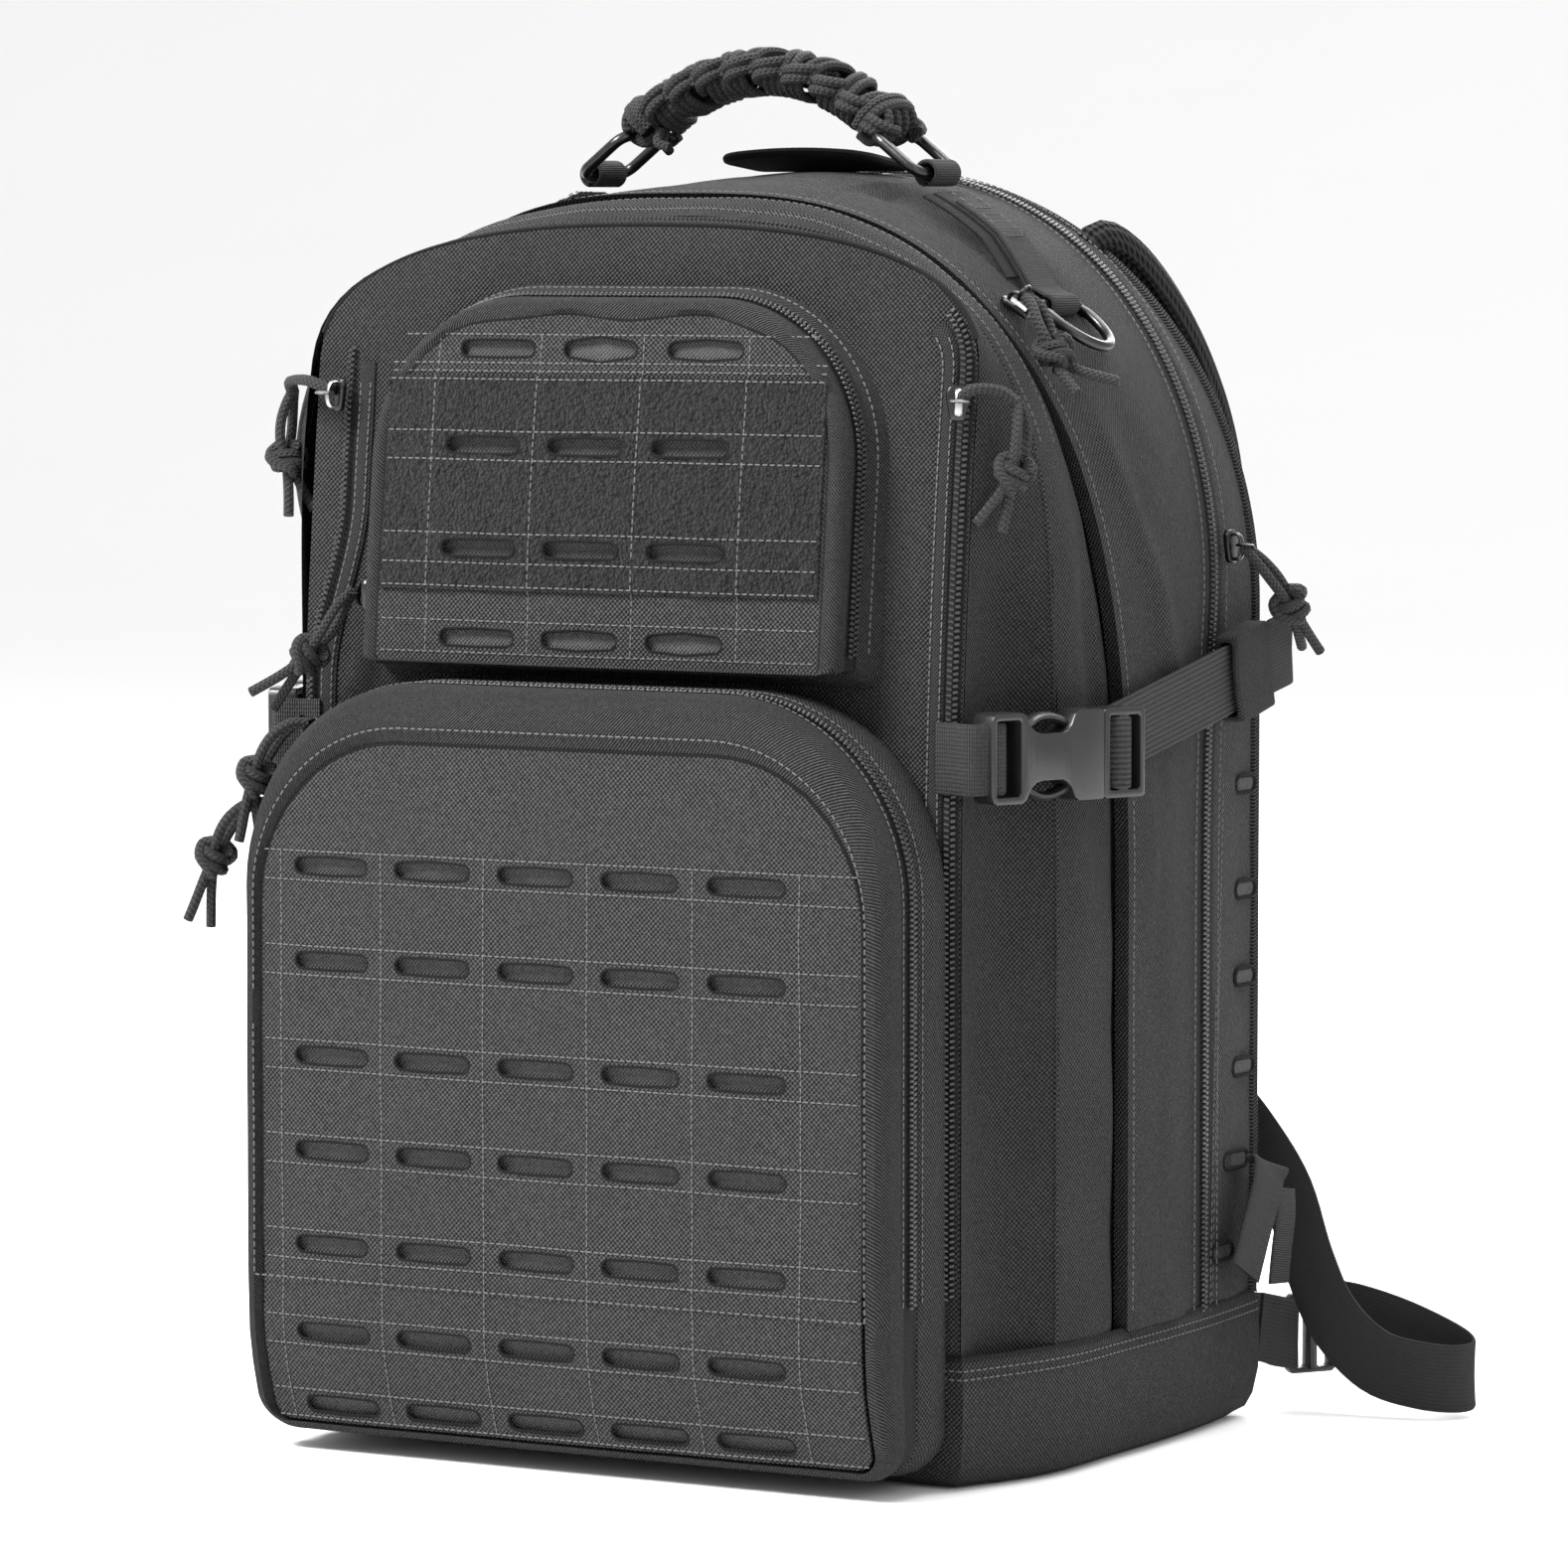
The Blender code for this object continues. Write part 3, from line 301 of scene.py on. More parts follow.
def capsules(name, centres, ways, normals, length, radius, flat, finish, body, **more):
    """Many small rounded bars as one piece, for stitches and zip teeth."""
    sides, rings = 6, ((-0.5, 0.45), (-0.36, 1.0), (0.36, 1.0), (0.5, 0.45))
    turns = [2 * math.pi * k / sides for k in range(sides)]
    local = np.array([(x, r * math.cos(turn), r * math.sin(turn)) for x, r in rings for turn in turns])
    shape = [
        (r * sides + k, r * sides + (k + 1) % sides, (r + 1) * sides + (k + 1) % sides, (r + 1) * sides + k)
        for r in range(3) for k in range(sides)
    ] + [tuple(range(sides))[::-1], tuple(range(3 * sides, 4 * sides))]
    at, way, up = (np.array([tuple(v) for v in vectors]) for vectors in (centres, ways, normals))
    across = np.cross(up, way)
    across /= np.linalg.norm(across, axis=1)[:, None] + 1e-12
    points = (
        at[:, None, :]
        + way[:, None, :] * (local[None, :, 0:1] * length)
        + across[:, None, :] * (local[None, :, 1:2] * radius)
        + up[:, None, :] * (local[None, :, 2:3] * radius * flat)
    ).reshape(-1, 3)
    faces = [tuple(i * len(local) + k for k in face) for i in range(len(at)) for face in shape]
    return add(name, (points, faces, np.zeros((sum(map(len, faces)), 2))), finish, body, **more)


def nearest_of(path, outs):
    """A function that gives the entry of outs whose path point is nearest."""
    at = np.array([tuple(p) for p in path])
    return lambda point: outs[int(np.argmin(((at - np.array(point)) ** 2).sum(1)))]


class Stitches:
    """Collects runs of stitches and makes one piece of them."""

    def __init__(self):
        self.centres, self.ways, self.normals = [], [], []

    def run(self, path, normal, pitch=0.003):
        """Stitches along a path that lies on the cloth. normal is one vector or a function of the point."""
        path = [V(p) for p in path]
        count = max(1, int(path_length(path) / pitch))
        pairs = resample(path, 2 * count + 1)
        for point, way in pairs[1::2]:
            self.centres.append(point)
            self.ways.append(way)
            self.normals.append(normal(point) if callable(normal) else normal)

    def piece(self, name, body, finish="thread", **more):
        return capsules(name, self.centres, self.ways, self.normals, 0.002, 0.0003, 0.8, finish, body, **more)


def zip_teeth(name, path, outs, body, pitch=0.0018):
    """Two rows of coil teeth along a path. outs gives the outward direction at each path point."""
    wide, count = 0.0021, int(path_length(path) / pitch)
    centres, ways, normals = [], [], []
    for (point, way), (out, _) in zip(resample(path, count), resample([V(o) for o in outs], count)):
        out = (out - way * out.dot(way)).normalized()
        across = way.cross(out)
        for side in (1, -1):
            shift = way * (pitch / 4 * side)
            centres.append(point + across * (side * wide * 0.52) + shift + out * 0.0004)
            ways.append((across + way * 0.22 * side).normalized())
            normals.append(out)
    return capsules(name, centres, ways, normals, wide, 0.00068, 1.0, "coil", body)


def inside(u, v, outline):
    """Whether the point is inside the outline, by crossings."""
    odd = False
    for (ax, ay), (bx, by) in zip(outline, outline[-1:] + outline[:-1]):
        if (ay > v) != (by > v) and u < (bx - ax) * (v - ay) / (by - ay) + ax:
            odd = not odd
    return odd


def tessellated(outline, holes, loose):
    """Triangles of a sheet with holes: its spots, its faces, and the spots along each loop."""
    loops, flat, edges = [outline] + holes, [], []
    for loop in loops:
        edges += [(len(flat) + i, len(flat) + (i + 1) % len(loop)) for i in range(len(loop))]
        flat += [V(p) for p in loop]
    spots, _, triangles, originals = delaunay_2d_cdt(flat + loose, edges, [], 0, 1e-7)[:4]
    spot_of = {index: spot for spot, indices in enumerate(originals) for index in indices}
    numbers = iter(range(len(flat)))
    rims = [[spot_of[next(numbers)] for _ in loop] for loop in loops]
    faces = []
    for face in triangles:
        u, v = (sum(spots[i][k] for i in face) / 3 for k in (0, 1))
        if inside(u, v, outline) and not any(inside(u, v, hole) for hole in holes):
            faces.append(tuple(face))
    return spots, faces, rims


def cloth_data(outline, holes, pitch, place, thick, walls=True):
    """A sheet with holes, fine enough to bend. place(u, v, depth) puts it in space; depth 0 is its back."""
    loops, loose = [outline] + holes, []
    fixed = np.array([tuple(V(p)) for loop in loops for p in loop])
    low, high = fixed.min(0), fixed.max(0)
    for i in range(int((high[0] - low[0]) / pitch)):
        for j in range(int((high[1] - low[1]) / pitch)):
            u, v = low[0] + pitch * (i + 0.5 + 0.25 * (j % 2)), low[1] + pitch * (j + 0.5)
            if np.min(np.abs(fixed - (u, v)).max(1)) > pitch * 0.3:
                loose.append(V((u, v)))
    spots, faces, rims = tessellated(outline, holes, loose)
    points = [place(p.x, p.y, thick) for p in spots]
    uvs = [(spots[i].x, spots[i].y) for face in faces for i in face]
    for loop, rim in zip(loops, rims) if walls else ():
        start = len(points)
        points += [place(u, v, 0.0) for u, v in loop]
        for i in range(len(loop)):
            j = (i + 1) % len(loop)
            faces.append((rim[i], rim[j], start + j, start + i))
            uvs += [loop[i], loop[j], loop[j], loop[i]]
    return points, faces, uvs


def cloth(name, outline, holes, pitch, place, thick, finish, body, walls=True, **more):
    return add(name, cloth_data(outline, holes, pitch, place, thick, walls), finish, body, **more)


# ---------------------------------------------------------------- materials
class Shader:
    """A Principled material with a few node shorthands."""

    def __init__(self, name, roughness, metallic=0.0, sheen=0.0):
        self.material = bpy.data.materials.new(name)
        self.material.use_nodes = True
        self.tree = self.material.node_tree
        self.shader = self.tree.nodes["Principled BSDF"]
        specular = 0.5 if roughness < 0.6 else 0.12
        for socket, value in (("Roughness", roughness), ("Metallic", metallic), ("Sheen Weight", sheen),
                              ("Sheen Roughness", 0.5), ("Specular IOR Level", specular)):
            self.shader.inputs[socket].default_value = value
        coords = self.node("ShaderNodeTexCoord").outputs
        self.object = coords["Object"]
        split = self.node("ShaderNodeSeparateXYZ")
        self.link(coords["UV"], split.inputs[0])
        self.u, self.v, _ = split.outputs

    def node(self, kind):
        return self.tree.nodes.new(kind)

    def link(self, a, b):
        self.tree.links.new(a, b)

    def math(self, what, a, b=0.0, c=0.0):
        node = self.node("ShaderNodeMath")
        node.operation = what
        for socket, value in zip(node.inputs, (a, b, c)):
            if isinstance(value, (int, float)):
                socket.default_value = value
            else:
                self.link(value, socket)
        return node.outputs[0]

    def wave(self, along, pitch):
        """sin of a coordinate with this pitch in metres."""
        return self.math("SINE", self.math("MULTIPLY", along, 2 * math.pi / pitch))

    def noise(self, scale, detail=2.0, roughness=0.5):
        node = self.node("ShaderNodeTexNoise")
        for socket, value in (("Scale", scale), ("Detail", detail), ("Roughness", roughness)):
            node.inputs[socket].default_value = value
        self.link(self.object, node.inputs["Vector"])
        return node.outputs["Fac"]

    def cells(self, scale):
        node = self.node("ShaderNodeTexVoronoi")
        node.inputs["Scale"].default_value = scale
        self.link(self.object, node.inputs["Vector"])
        return node.outputs["Distance"]

    def colour(self, base, *layers):
        """Base grey times 1 + sum of (value - middle) * strength."""
        total = 1.0
        for value, middle, strength in layers:
            term = self.math("MULTIPLY", self.math("SUBTRACT", value, middle), strength)
            total = self.math("ADD", term, total)
        total = self.math("MAXIMUM", total, 0.15)
        mix = self.node("ShaderNodeVectorMath")
        mix.operation = "SCALE"
        mix.inputs[0].default_value = base
        self.link(total, mix.inputs["Scale"])
        self.link(mix.outputs[0], self.shader.inputs["Base Color"])

    def bump(self, height, distance, strength=1.0):
        node = self.node("ShaderNodeBump")
        node.inputs["Distance"].default_value = distance
        node.inputs["Strength"].default_value = strength
        self.link(height, node.inputs["Height"])
        if self.shader.inputs["Normal"].is_linked:
            self.link(self.shader.inputs["Normal"].links[0].from_socket, node.inputs["Normal"])
        self.link(node.outputs[0], self.shader.inputs["Normal"])

    def rough(self, value, middle, spread):
        scaled = self.math("MULTIPLY_ADD", self.math("SUBTRACT", value, 0.5), spread, middle)
        self.link(scaled, self.shader.inputs["Roughness"])


def grey(level):
    return (level, level, level)


def woven(name, level, pattern, pitch, depth, contrast, grain=0.25, blotch=0.22, soft=0.0):
    """A woven fabric: plain, twill, herringbone, webbing, or long, which is webbing ribbed the other way."""
    s = Shader(name, 0.88, sheen=0.02)
    u, v = s.u, s.v
    if pattern == "plain":
        height = s.math("MULTIPLY", s.wave(u, 2 * pitch), s.wave(v, 2 * pitch))
    elif pattern == "twill":
        height = s.wave(s.math("ADD", u, v), pitch * 1.41)
    elif pattern == "herringbone":
        fold = s.math("PINGPONG", v, pitch * 3.2)
        height = s.wave(s.math("ADD", u, fold), pitch * 1.41)
    else:
        rib_way, cord_way, rib, cord, share = (u, v, 2.2, 0.9, 0.25) if pattern == "long" else (v, u, 1.0,
                                                                                                1.7, 0.35)
        ribs = s.math("ABSOLUTE", s.wave(rib_way, 2 * pitch * rib))
        cords = s.math("ABSOLUTE", s.wave(cord_way, 2 * pitch * cord))
        height = s.math("ADD", s.math("MULTIPLY", ribs, 0.75), s.math("MULTIPLY", cords, share))
    fine = s.noise(1500, 2.0)
    broad = s.noise(22, 3.0)
    speck = s.noise(620, 1.0)
    s.colour(grey(level), (height, 0.3 if pattern in ("webbing", "long") else 0.0, contrast),
             (fine, 0.5, grain * 2.2),
             (speck, 0.5, grain), (broad, 0.5, blotch))
    mixed = s.math("ADD", height, s.math("MULTIPLY", fine, 0.9))
    if soft:
        s.bump(s.noise(26, 3.0, roughness=0.6), soft)
    s.bump(mixed, depth)
    s.rough(broad, 0.86, 0.12)
    return s.material


def pile_material(level):
    s = Shader("loop_pile", 0.98, sheen=0.05)
    tufts = s.noise(520, 3.0, roughness=0.75)
    specks = s.cells(760)
    height = s.math("SUBTRACT", s.math("MULTIPLY", tufts, 1.6), specks)
    s.colour(grey(level), (tufts, 0.5, 3.4), (specks, 0.45, -0.9), (s.noise(40, 2.0), 0.5, 0.3))
    s.bump(height, 0.0013)
    return s.material


def mesh_material(level):
    """Spacer mesh: rows of small open cells, staggered like a honeycomb."""
    s = Shader("air_mesh", 0.75, sheen=0.02)
    rows = s.wave(s.v, 0.0064)
    cells = s.math("MULTIPLY", s.wave(s.math("ADD", s.u, s.v), 0.006),
                   s.wave(s.math("SUBTRACT", s.u, s.v), 0.006))
    height = s.math("ADD", cells, s.math("MULTIPLY", rows, 0.15))
    holes = s.math("GREATER_THAN", cells, 0.42)
    s.colour(grey(level), (holes, 0.0, -0.72), (cells, 0.0, -0.45), (s.noise(1400, 2.0), 0.5, 0.9),
             (s.noise(30), 0.5, 0.3))
    s.bump(s.math("MULTIPLY", height, -1.0), 0.0016)
    return s.material


def plastic_material(name, level, roughness):
    s = Shader(name, roughness)
    skin = s.noise(900, 2.0)
    scuff = s.noise(60, 4.0, roughness=0.7)
    s.colour(grey(level), (scuff, 0.5, 0.35), (skin, 0.5, 0.2))
    s.rough(scuff, roughness, 0.25)
    s.bump(skin, 0.00005)
    return s.material


def metal_material(name, level, roughness):
    s = Shader(name, roughness, metallic=1.0)
    brushed = s.noise(340, 4.0, roughness=0.7)
    s.colour(grey(level), (brushed, 0.5, 0.3), (s.noise(40), 0.5, 0.2))
    s.rough(brushed, roughness, 0.3)
    s.bump(brushed, 0.00003)
    return s.material


def braid_material(level):
    """Braided cord: two crossing spirals of strands. u runs round the cord, v along it."""
    s = Shader("paracord", 0.7, sheen=0.03)
    one = s.wave(s.math("ADD", s.u, s.v), 0.0021)
    two = s.wave(s.math("SUBTRACT", s.u, s.v), 0.0021)
    height = s.math("MAXIMUM", one, two)
    s.colour(grey(level), (height, 0.4, 0.35), (s.noise(1500), 0.5, 0.5), (s.noise(60), 0.5, 0.3))
    s.bump(height, 0.00035)
    return s.material


FINISH = {
    "cordura": woven("cordura", 0.025, "plain", 0.00092, 0.0006, 1.3, grain=1.0, blotch=0.5, soft=0.004),
    # cordura_dark is cordura made darker: painted shade for the front and middle gussets.
    "cordura_dark": woven("cordura_dark", 0.022, "plain", 0.00092, 0.0006, 1.3, grain=1.0, blotch=0.8,
                          soft=0.004),
    "lining": woven("lining", 0.012, "plain", 0.0005, 0.0002, 0.1),
    "binding": woven("binding", 0.029, "twill", 0.00095, 0.0006, 1.0, grain=0.9, blotch=0.4, soft=0.004),
    "herringbone": woven("herringbone", 0.028, "herringbone", 0.0011, 0.0006, 1.1, grain=0.8, blotch=0.4,
                         soft=0.004),
    "storm": woven("storm", 0.02, "plain", 0.0007, 0.0003, 0.45, grain=0.4),
    "laminate": woven("laminate", 0.033, "plain", 0.00092, 0.0006, 1.3, grain=1.1, blotch=0.3, soft=0.003),
    "backing": woven("backing", 0.06, "plain", 0.0008, 0.0003, 0.3, grain=0.45),
    "webbing": woven("webbing", 0.022, "webbing", 0.00085, 0.0009, 1.4, grain=0.35),
    "webbing_long": woven("webbing_long", 0.02, "long", 0.00085, 0.0009, 1.4, grain=0.35),
    # webbing_dark is webbing made darker, used only for the painted shade strip along the shoulder webbing's
    # edge.
    "webbing_dark": woven("webbing_dark", 0.013, "webbing", 0.00085, 0.00055, 0.7),
    "loop_pile": pile_material(0.012),
    "air_mesh": mesh_material(0.016),
    "paracord": braid_material(0.025),
    "acetal": plastic_material("acetal", 0.008, 0.32),
    "coil": plastic_material("coil", 0.02, 0.42),
    "tape": woven("tape", 0.018, "twill", 0.0006, 0.0003, 0.25),
    "thread": plastic_material("thread", 0.09, 0.8),
    # seam: dark twill for seams and piping; the shoulder webbing's edge lines and the slot rims also use it
    # as painted shade.
    "seam": woven("seam", 0.008, "twill", 0.0006, 0.0002, 0.2),
    "steel": metal_material("steel", 0.34, 0.34),
    "wire": metal_material("wire", 0.045, 0.32),
}


# ---------------------------------------------------------------- camera, light and floor
def studio():
    camera = bpy.data.objects.new("camera", bpy.data.cameras.new("camera"))
    bpy.context.scene.collection.objects.link(camera)
    camera.location = (1.3959, -2.4096, 0.4414)
    camera.rotation_euler = (math.radians(90 - 4.25), 0, math.radians(30))
    camera.data.sensor_width = 36
    camera.data.lens = 175.67
    camera.data.dof.use_dof = False
    bpy.context.scene.camera = camera
    world = bpy.data.worlds.new("studio")
    bpy.context.scene.world = world
    world.use_nodes = True
    world.node_tree.nodes["Background"].inputs[0].default_value = (1, 1, 1, 1)
    world.node_tree.nodes["Background"].inputs[1].default_value = 1.0
    lamps = (
        ("key", (-0.7, -1.5, 2.1), 0.9, 150),
        ("fill", (2.0, -0.7, 1.3), 1.2, 10),
        ("top", (0.5, 0.5, 2.2), 1.2, 46),
        ("back", (-0.6, 2.2, 1.5), 1.8, 60),
    )
    for name, place, size, power in lamps:
        lamp = bpy.data.lights.new(name, "AREA")
        lamp.energy, lamp.size = power, size
        thing = bpy.data.objects.new(name, lamp)
        thing.location = place
        thing.rotation_euler = (V((0, 0, 0.25)) - V(place)).to_track_quat("-Z", "Y").to_euler()
        bpy.context.scene.collection.objects.link(thing)
    floor = bpy.data.meshes.new("floor")
    rows = []
    for i in range(24):
        y = 9.0 - 0.5 * i
        bend = max(0.0, y - 4.0)
        rows.append([V((x, y, bend * bend * 0.12)) for x in (-12.0, 12.0)])
    points, faces, _ = grid_data(rows)
    floor.from_pydata([tuple(p) for p in points], [], faces)
    shader = Shader("floor_paint", 0.6)
    shader.colour(grey(0.86), (shader.noise(3.0, 2.0), 0.5, 0.02))
    floor.materials.append(shader.material)
    floor.shade_smooth()
    thing = bpy.data.objects.new("floor", floor)
    bpy.context.scene.collection.objects.link(thing)
    bpy.context.scene.view_settings.view_transform = "Standard"


studio()


# ---------------------------------------------------------------- the shell
def band_rows(first, second, places, offset, count=170, metres=False):
    """Rows of points between two arches, at shares or metres from the first. offset pushes outwards."""
    legs = list(zip(*(arch(profile, inset, count) for inset in (0.0, -0.01) for profile in (first, second))))
    rows = []
    for place in places:
        row = []
        for a, b, proud_a, proud_b in legs:
            span = (b - a).length
            t = place / span if metres else place
            p, q = a.lerp(b, t), proud_a.lerp(proud_b, t)
            row.append(p + (q - p) * (offset(t, p, t * span) / 0.01))
        rows.append(row)
    return rows


def sag_share(z):
    return ramp((0.345 - z) / 0.045)


def hump(value, centre, width):
    return math.exp(-(((value - centre) / width) ** 2))


def slump(p):
    """How much the left shoulder's loose cloth bulges out."""
    return 0.0115 * hump(p.z, 0.352, 0.062) * ramp((-p.x - 0.06) / 0.06)


def front_gusset_offset(t, p, d):
    sag = 0.0075 * math.sin(math.pi * t) * sag_share(p.z)
    fold = 0.0022 * rough((p.x * 0.2, d * 2.2, p.z), 26, 3.0) * math.sin(math.pi * t)
    return -sag + fold + slump(p) * min(1.0, 0.35 + t)


def middle_gusset_offset(t, p, d):
    side = sag_share(p.z - 0.045)
    puff = 0.0022 * math.sin(math.pi * min(1.0, t * 1.15))
    dip = (0.001 + 0.0035 * sag_share(p.z - 0.06)) * max(0.0, (t - 0.78) / 0.22) ** 1.5
    hollow = 0.0045 * side * hump(t, 0.62, 0.22) * hump(p.z, 0.285, 0.06)
    return puff - dip - hollow + 0.0015 * rough(p, 30, 8.0) + slump(p)


def rear_gusset_offset(t, p, d):
    ridge = 0.0028 * hump(d, 0.02 + max(0.0, (0.352 - p.z)) * 0.28, 0.007) * hump(p.z, 0.315, 0.055)
    puff = 0.0048 * math.sin(math.pi * t) * (1 - 0.4 * sag_share(p.z))
    edge = (0.0012 + 0.0018 * sag_share(p.z - 0.06)) * max(0.0, 1 - t / 0.35)
    soft = 0.0022 * rough((p.x, p.y * 0.6, p.z * 0.8), 17, 5.0) + 0.0007 * rough(p, 60, 2.0)
    strapped = 1 - 0.97 * hump(p.y, -0.005, 0.017) * ramp((p.z - 0.395) / 0.02) * (abs(p.x) > 0.045)
    height = (edge + puff + ridge + soft * math.sin(math.pi * min(1, t * 1.4))) * strapped
    return height + slump(p) * (1 - t) * 0.9


def parted(rows, level, closed=False):
    """A surface's data in two parts: the faces above a height, and those below."""
    points, faces, uvs = grid_data(rows, closed)
    parts = [], []
    for i, face in enumerate(faces):
        parts[sum(points[k].z for k in face) / 4 <= level].append(i)
    corners = lambda part: [uvs[4 * i + k] for i in part for k in range(4)]
    return [(points, [faces[i] for i in part], corners(part)) for part in parts]


def shell_bands():
    shares = [i / 14 for i in range(15)]
    rows = band_rows(FRONT_EDGE, CREASE_SEAM, shares, front_gusset_offset)
    # The front and middle gussets take cordura_dark, whose darker grey is painted shade.
    grid("side_gusset_cloth", rows, "cordura_dark", "pack", stands="front_gusset")
    above, below = parted(band_rows(CREASE_SEAM, STORM_SEAM, shares, middle_gusset_offset), BAND_FOOT)
    add("top_band_cloth", above, "herringbone", "pack", stands="middle_gusset")
    add("middle_gusset_cloth", below, "cordura_dark", "pack")
    proud = lambda t, p, d: rear_gusset_offset(0.0, p, 0.0) - 0.0002
    lip = lambda t, p, d: rear_gusset_offset(0.0, p, 0.0) - 0.0035 - 0.003 * sag_share(p.z - 0.06)
    rows = []
    for places, offset in (([0.006], lip), ([-0.022, -0.018], proud),
                           ([0.01 + 0.968 * i / 26 for i in range(27)], rear_gusset_offset)):
        rows += band_rows(STORM_SEAM, REAR_ZIP, places, offset)
    grid("rear_gusset_cloth", rows, "cordura", "pack", sharp=50, stands="rear_gusset")


def front_panel_y(x, z):
    bulge = 0.0048 * hump(z, 0.415, 0.035) * (1 - (x / 0.136) ** 2) + 0.001 * rough((x, 0, z), 20, 1.0)
    turn = 0.0006 * ramp((abs(x) - 0.1312) / 0.0045) ** 2 * (1 if z < 0.395 else 0)
    return lean(FRONT_EDGE, z) - max(0.0, bulge) + turn


def front_panel():
    outline = [(p.x, p.z) for p in arch(FRONT_EDGE, 0.0006, 120)]
    cloth("front_panel_cloth", outline, [], 0.0075, lambda u, v,
          depth: V((u, front_panel_y(u, v) - depth, v)), 0.0,
          "cordura", "pack", walls=False, stands="front_panel")


# How much further in the front zip lies on each flank.
ZIP_DRAWN_IN = {1: 0.0, -1: 0.0115}


def drawn_in(side, z):
    """The zip slants out to the panel's edge before it passes the lower pocket."""
    t = ramp((z - 0.275) / 0.065)
    return ZIP_DRAWN_IN[side] * t * t * (3 - 2 * t)


def edge_strip():
    """The folded strip beside each front zip, and the seam's piping over the crown."""
    stitches = Stitches()
    for side, word in SIDES:
        rows = []
        for inset, shift in ((0.0146, 0.0006), (0.0142, -0.0012), (0.0118, -0.0019), (0.009, -0.002),
                             (0.0076, -0.0012), (0.0072, 0.001)):
            row = []
            for p in arch(FRONT_EDGE, inset, 260)[:130]:
                if 0.062 <= p.z <= 0.4065 - 1.4 * ZIP_DRAWN_IN[side]:
                    x = p.x - drawn_in(side, p.z)
                    row.append(V((side * x, front_panel_y(x, p.z) + shift, p.z)))
            rows.append(row)
        count = min(len(row) for row in rows)
        grid("zip_edge_strip_" + word, [row[:count] for row in rows], "storm", "pack", sharp=60)
        for inset in (0.013, 0.0088):
            path = [V((side * (p.x - drawn_in(side, p.z)), front_panel_y(p.x, p.z) - 0.0021, p.z))
                    for p in arch(FRONT_EDGE, inset,
                                  260)[:130] if 0.064 <= p.z <= 0.4 - 1.4 * ZIP_DRAWN_IN[side]]
            stitches.run(path, FORWARD, 0.0028)
    stitches.piece("zip_edge_stitches", "pack")
    path = [p + V((0, -0.0002, 0)) for p in arch(FRONT_EDGE, 0.0002, 400) if p.z > 0.398]
    sweep("front_seam_piping", path, circle(0.00115, 8), "seam", "pack")
    sweep("crease_seam_fold", arch(CREASE_SEAM, 0.0004, 260), circle(0.0009, 6), "cordura", "pack")


def seam_rows():
    """Lines of stitching along the shell's seams."""
    stitches = Stitches()
    for first, second, distance, offset, low in (
        (STORM_SEAM, REAR_ZIP, 0.0022, rear_gusset_offset, 0.05),
        (CREASE_SEAM, STORM_SEAM, 0.004, middle_gusset_offset, 0.36),
        (CREASE_SEAM, STORM_SEAM, 0.0165, middle_gusset_offset, 0.36),
    ):
        proud = lambda t, p, d: offset(t, p, d) + 0.01
        row, outer = (band_rows(first, second, [distance], way, 300, metres=True)[0] for way in (offset,
                                                                                                 proud))
        kept = [(p, (q - p).normalized()) for p, q in zip(row, outer) if p.z >= low]
        path, outs = zip(*kept)
        stitches.run(path, nearest_of(path, outs))
    stitches.piece("shell_seam_stitches", "pack")


def base_loop(inset, z, count=132):
    corners = [(0.136, -0.105), (0.15, -0.061), (0.1515, -0.013), (0.1505, 0.05), (0.146, 0.101)]
    right = [(x - inset, y) for x, y in corners]
    right[0], right[-1] = (0.136 - inset, -0.105 + inset), (0.146 - inset, 0.101 - inset)
    right = [(p.x, p.y) for p in smooth_path([(x, y, 0) for x, y in right], 8)]
    loop = right + [(-x, y) for x, y in reversed(right)]
    loop = [V((x, y, z)) for x, y in loop] + [V((loop[0][0], loop[0][1], z))]
    return [p for p, _ in resample(loop, count + 1)][:-1]


def base():
    levels = ((-0.0002, 0.0468), (-0.0012, 0.044), (-0.0022, 0.032), (-0.002, 0.018), (-0.0004, 0.0085),
              (0.002, 0.0035), (0.0055, 0.0008), (0.011, 0.0002), (0.05, 0.0002), (0.09, 0.0002))
    outwards = lambda p: V((p.x, p.y, 0)).normalized()
    wobble = lambda p, z: 0.001 * rough(p, 24, 6.0) if 0.004 < z < 0.044 else 0.0
    rows = [[p + outwards(p) * wobble(p, z) for p in base_loop(inset, z)] for inset, z in levels]
    grid("base_cloth", rows, "cordura", "pack", closed=True, stands="base_panel")
    stitches = Stitches()
    for z in (0.0425, 0.0395):
        loop = base_loop(-0.0016 - (0.0445 - z) * 0.05, z)
        stitches.run(loop + loop[:1], outwards)
    stitches.piece("base_stitches", "pack")
    sweep("base_seam", base_loop(-0.0006, 0.0466), circle(0.0008, 6), "seam", "pack", closed=True)


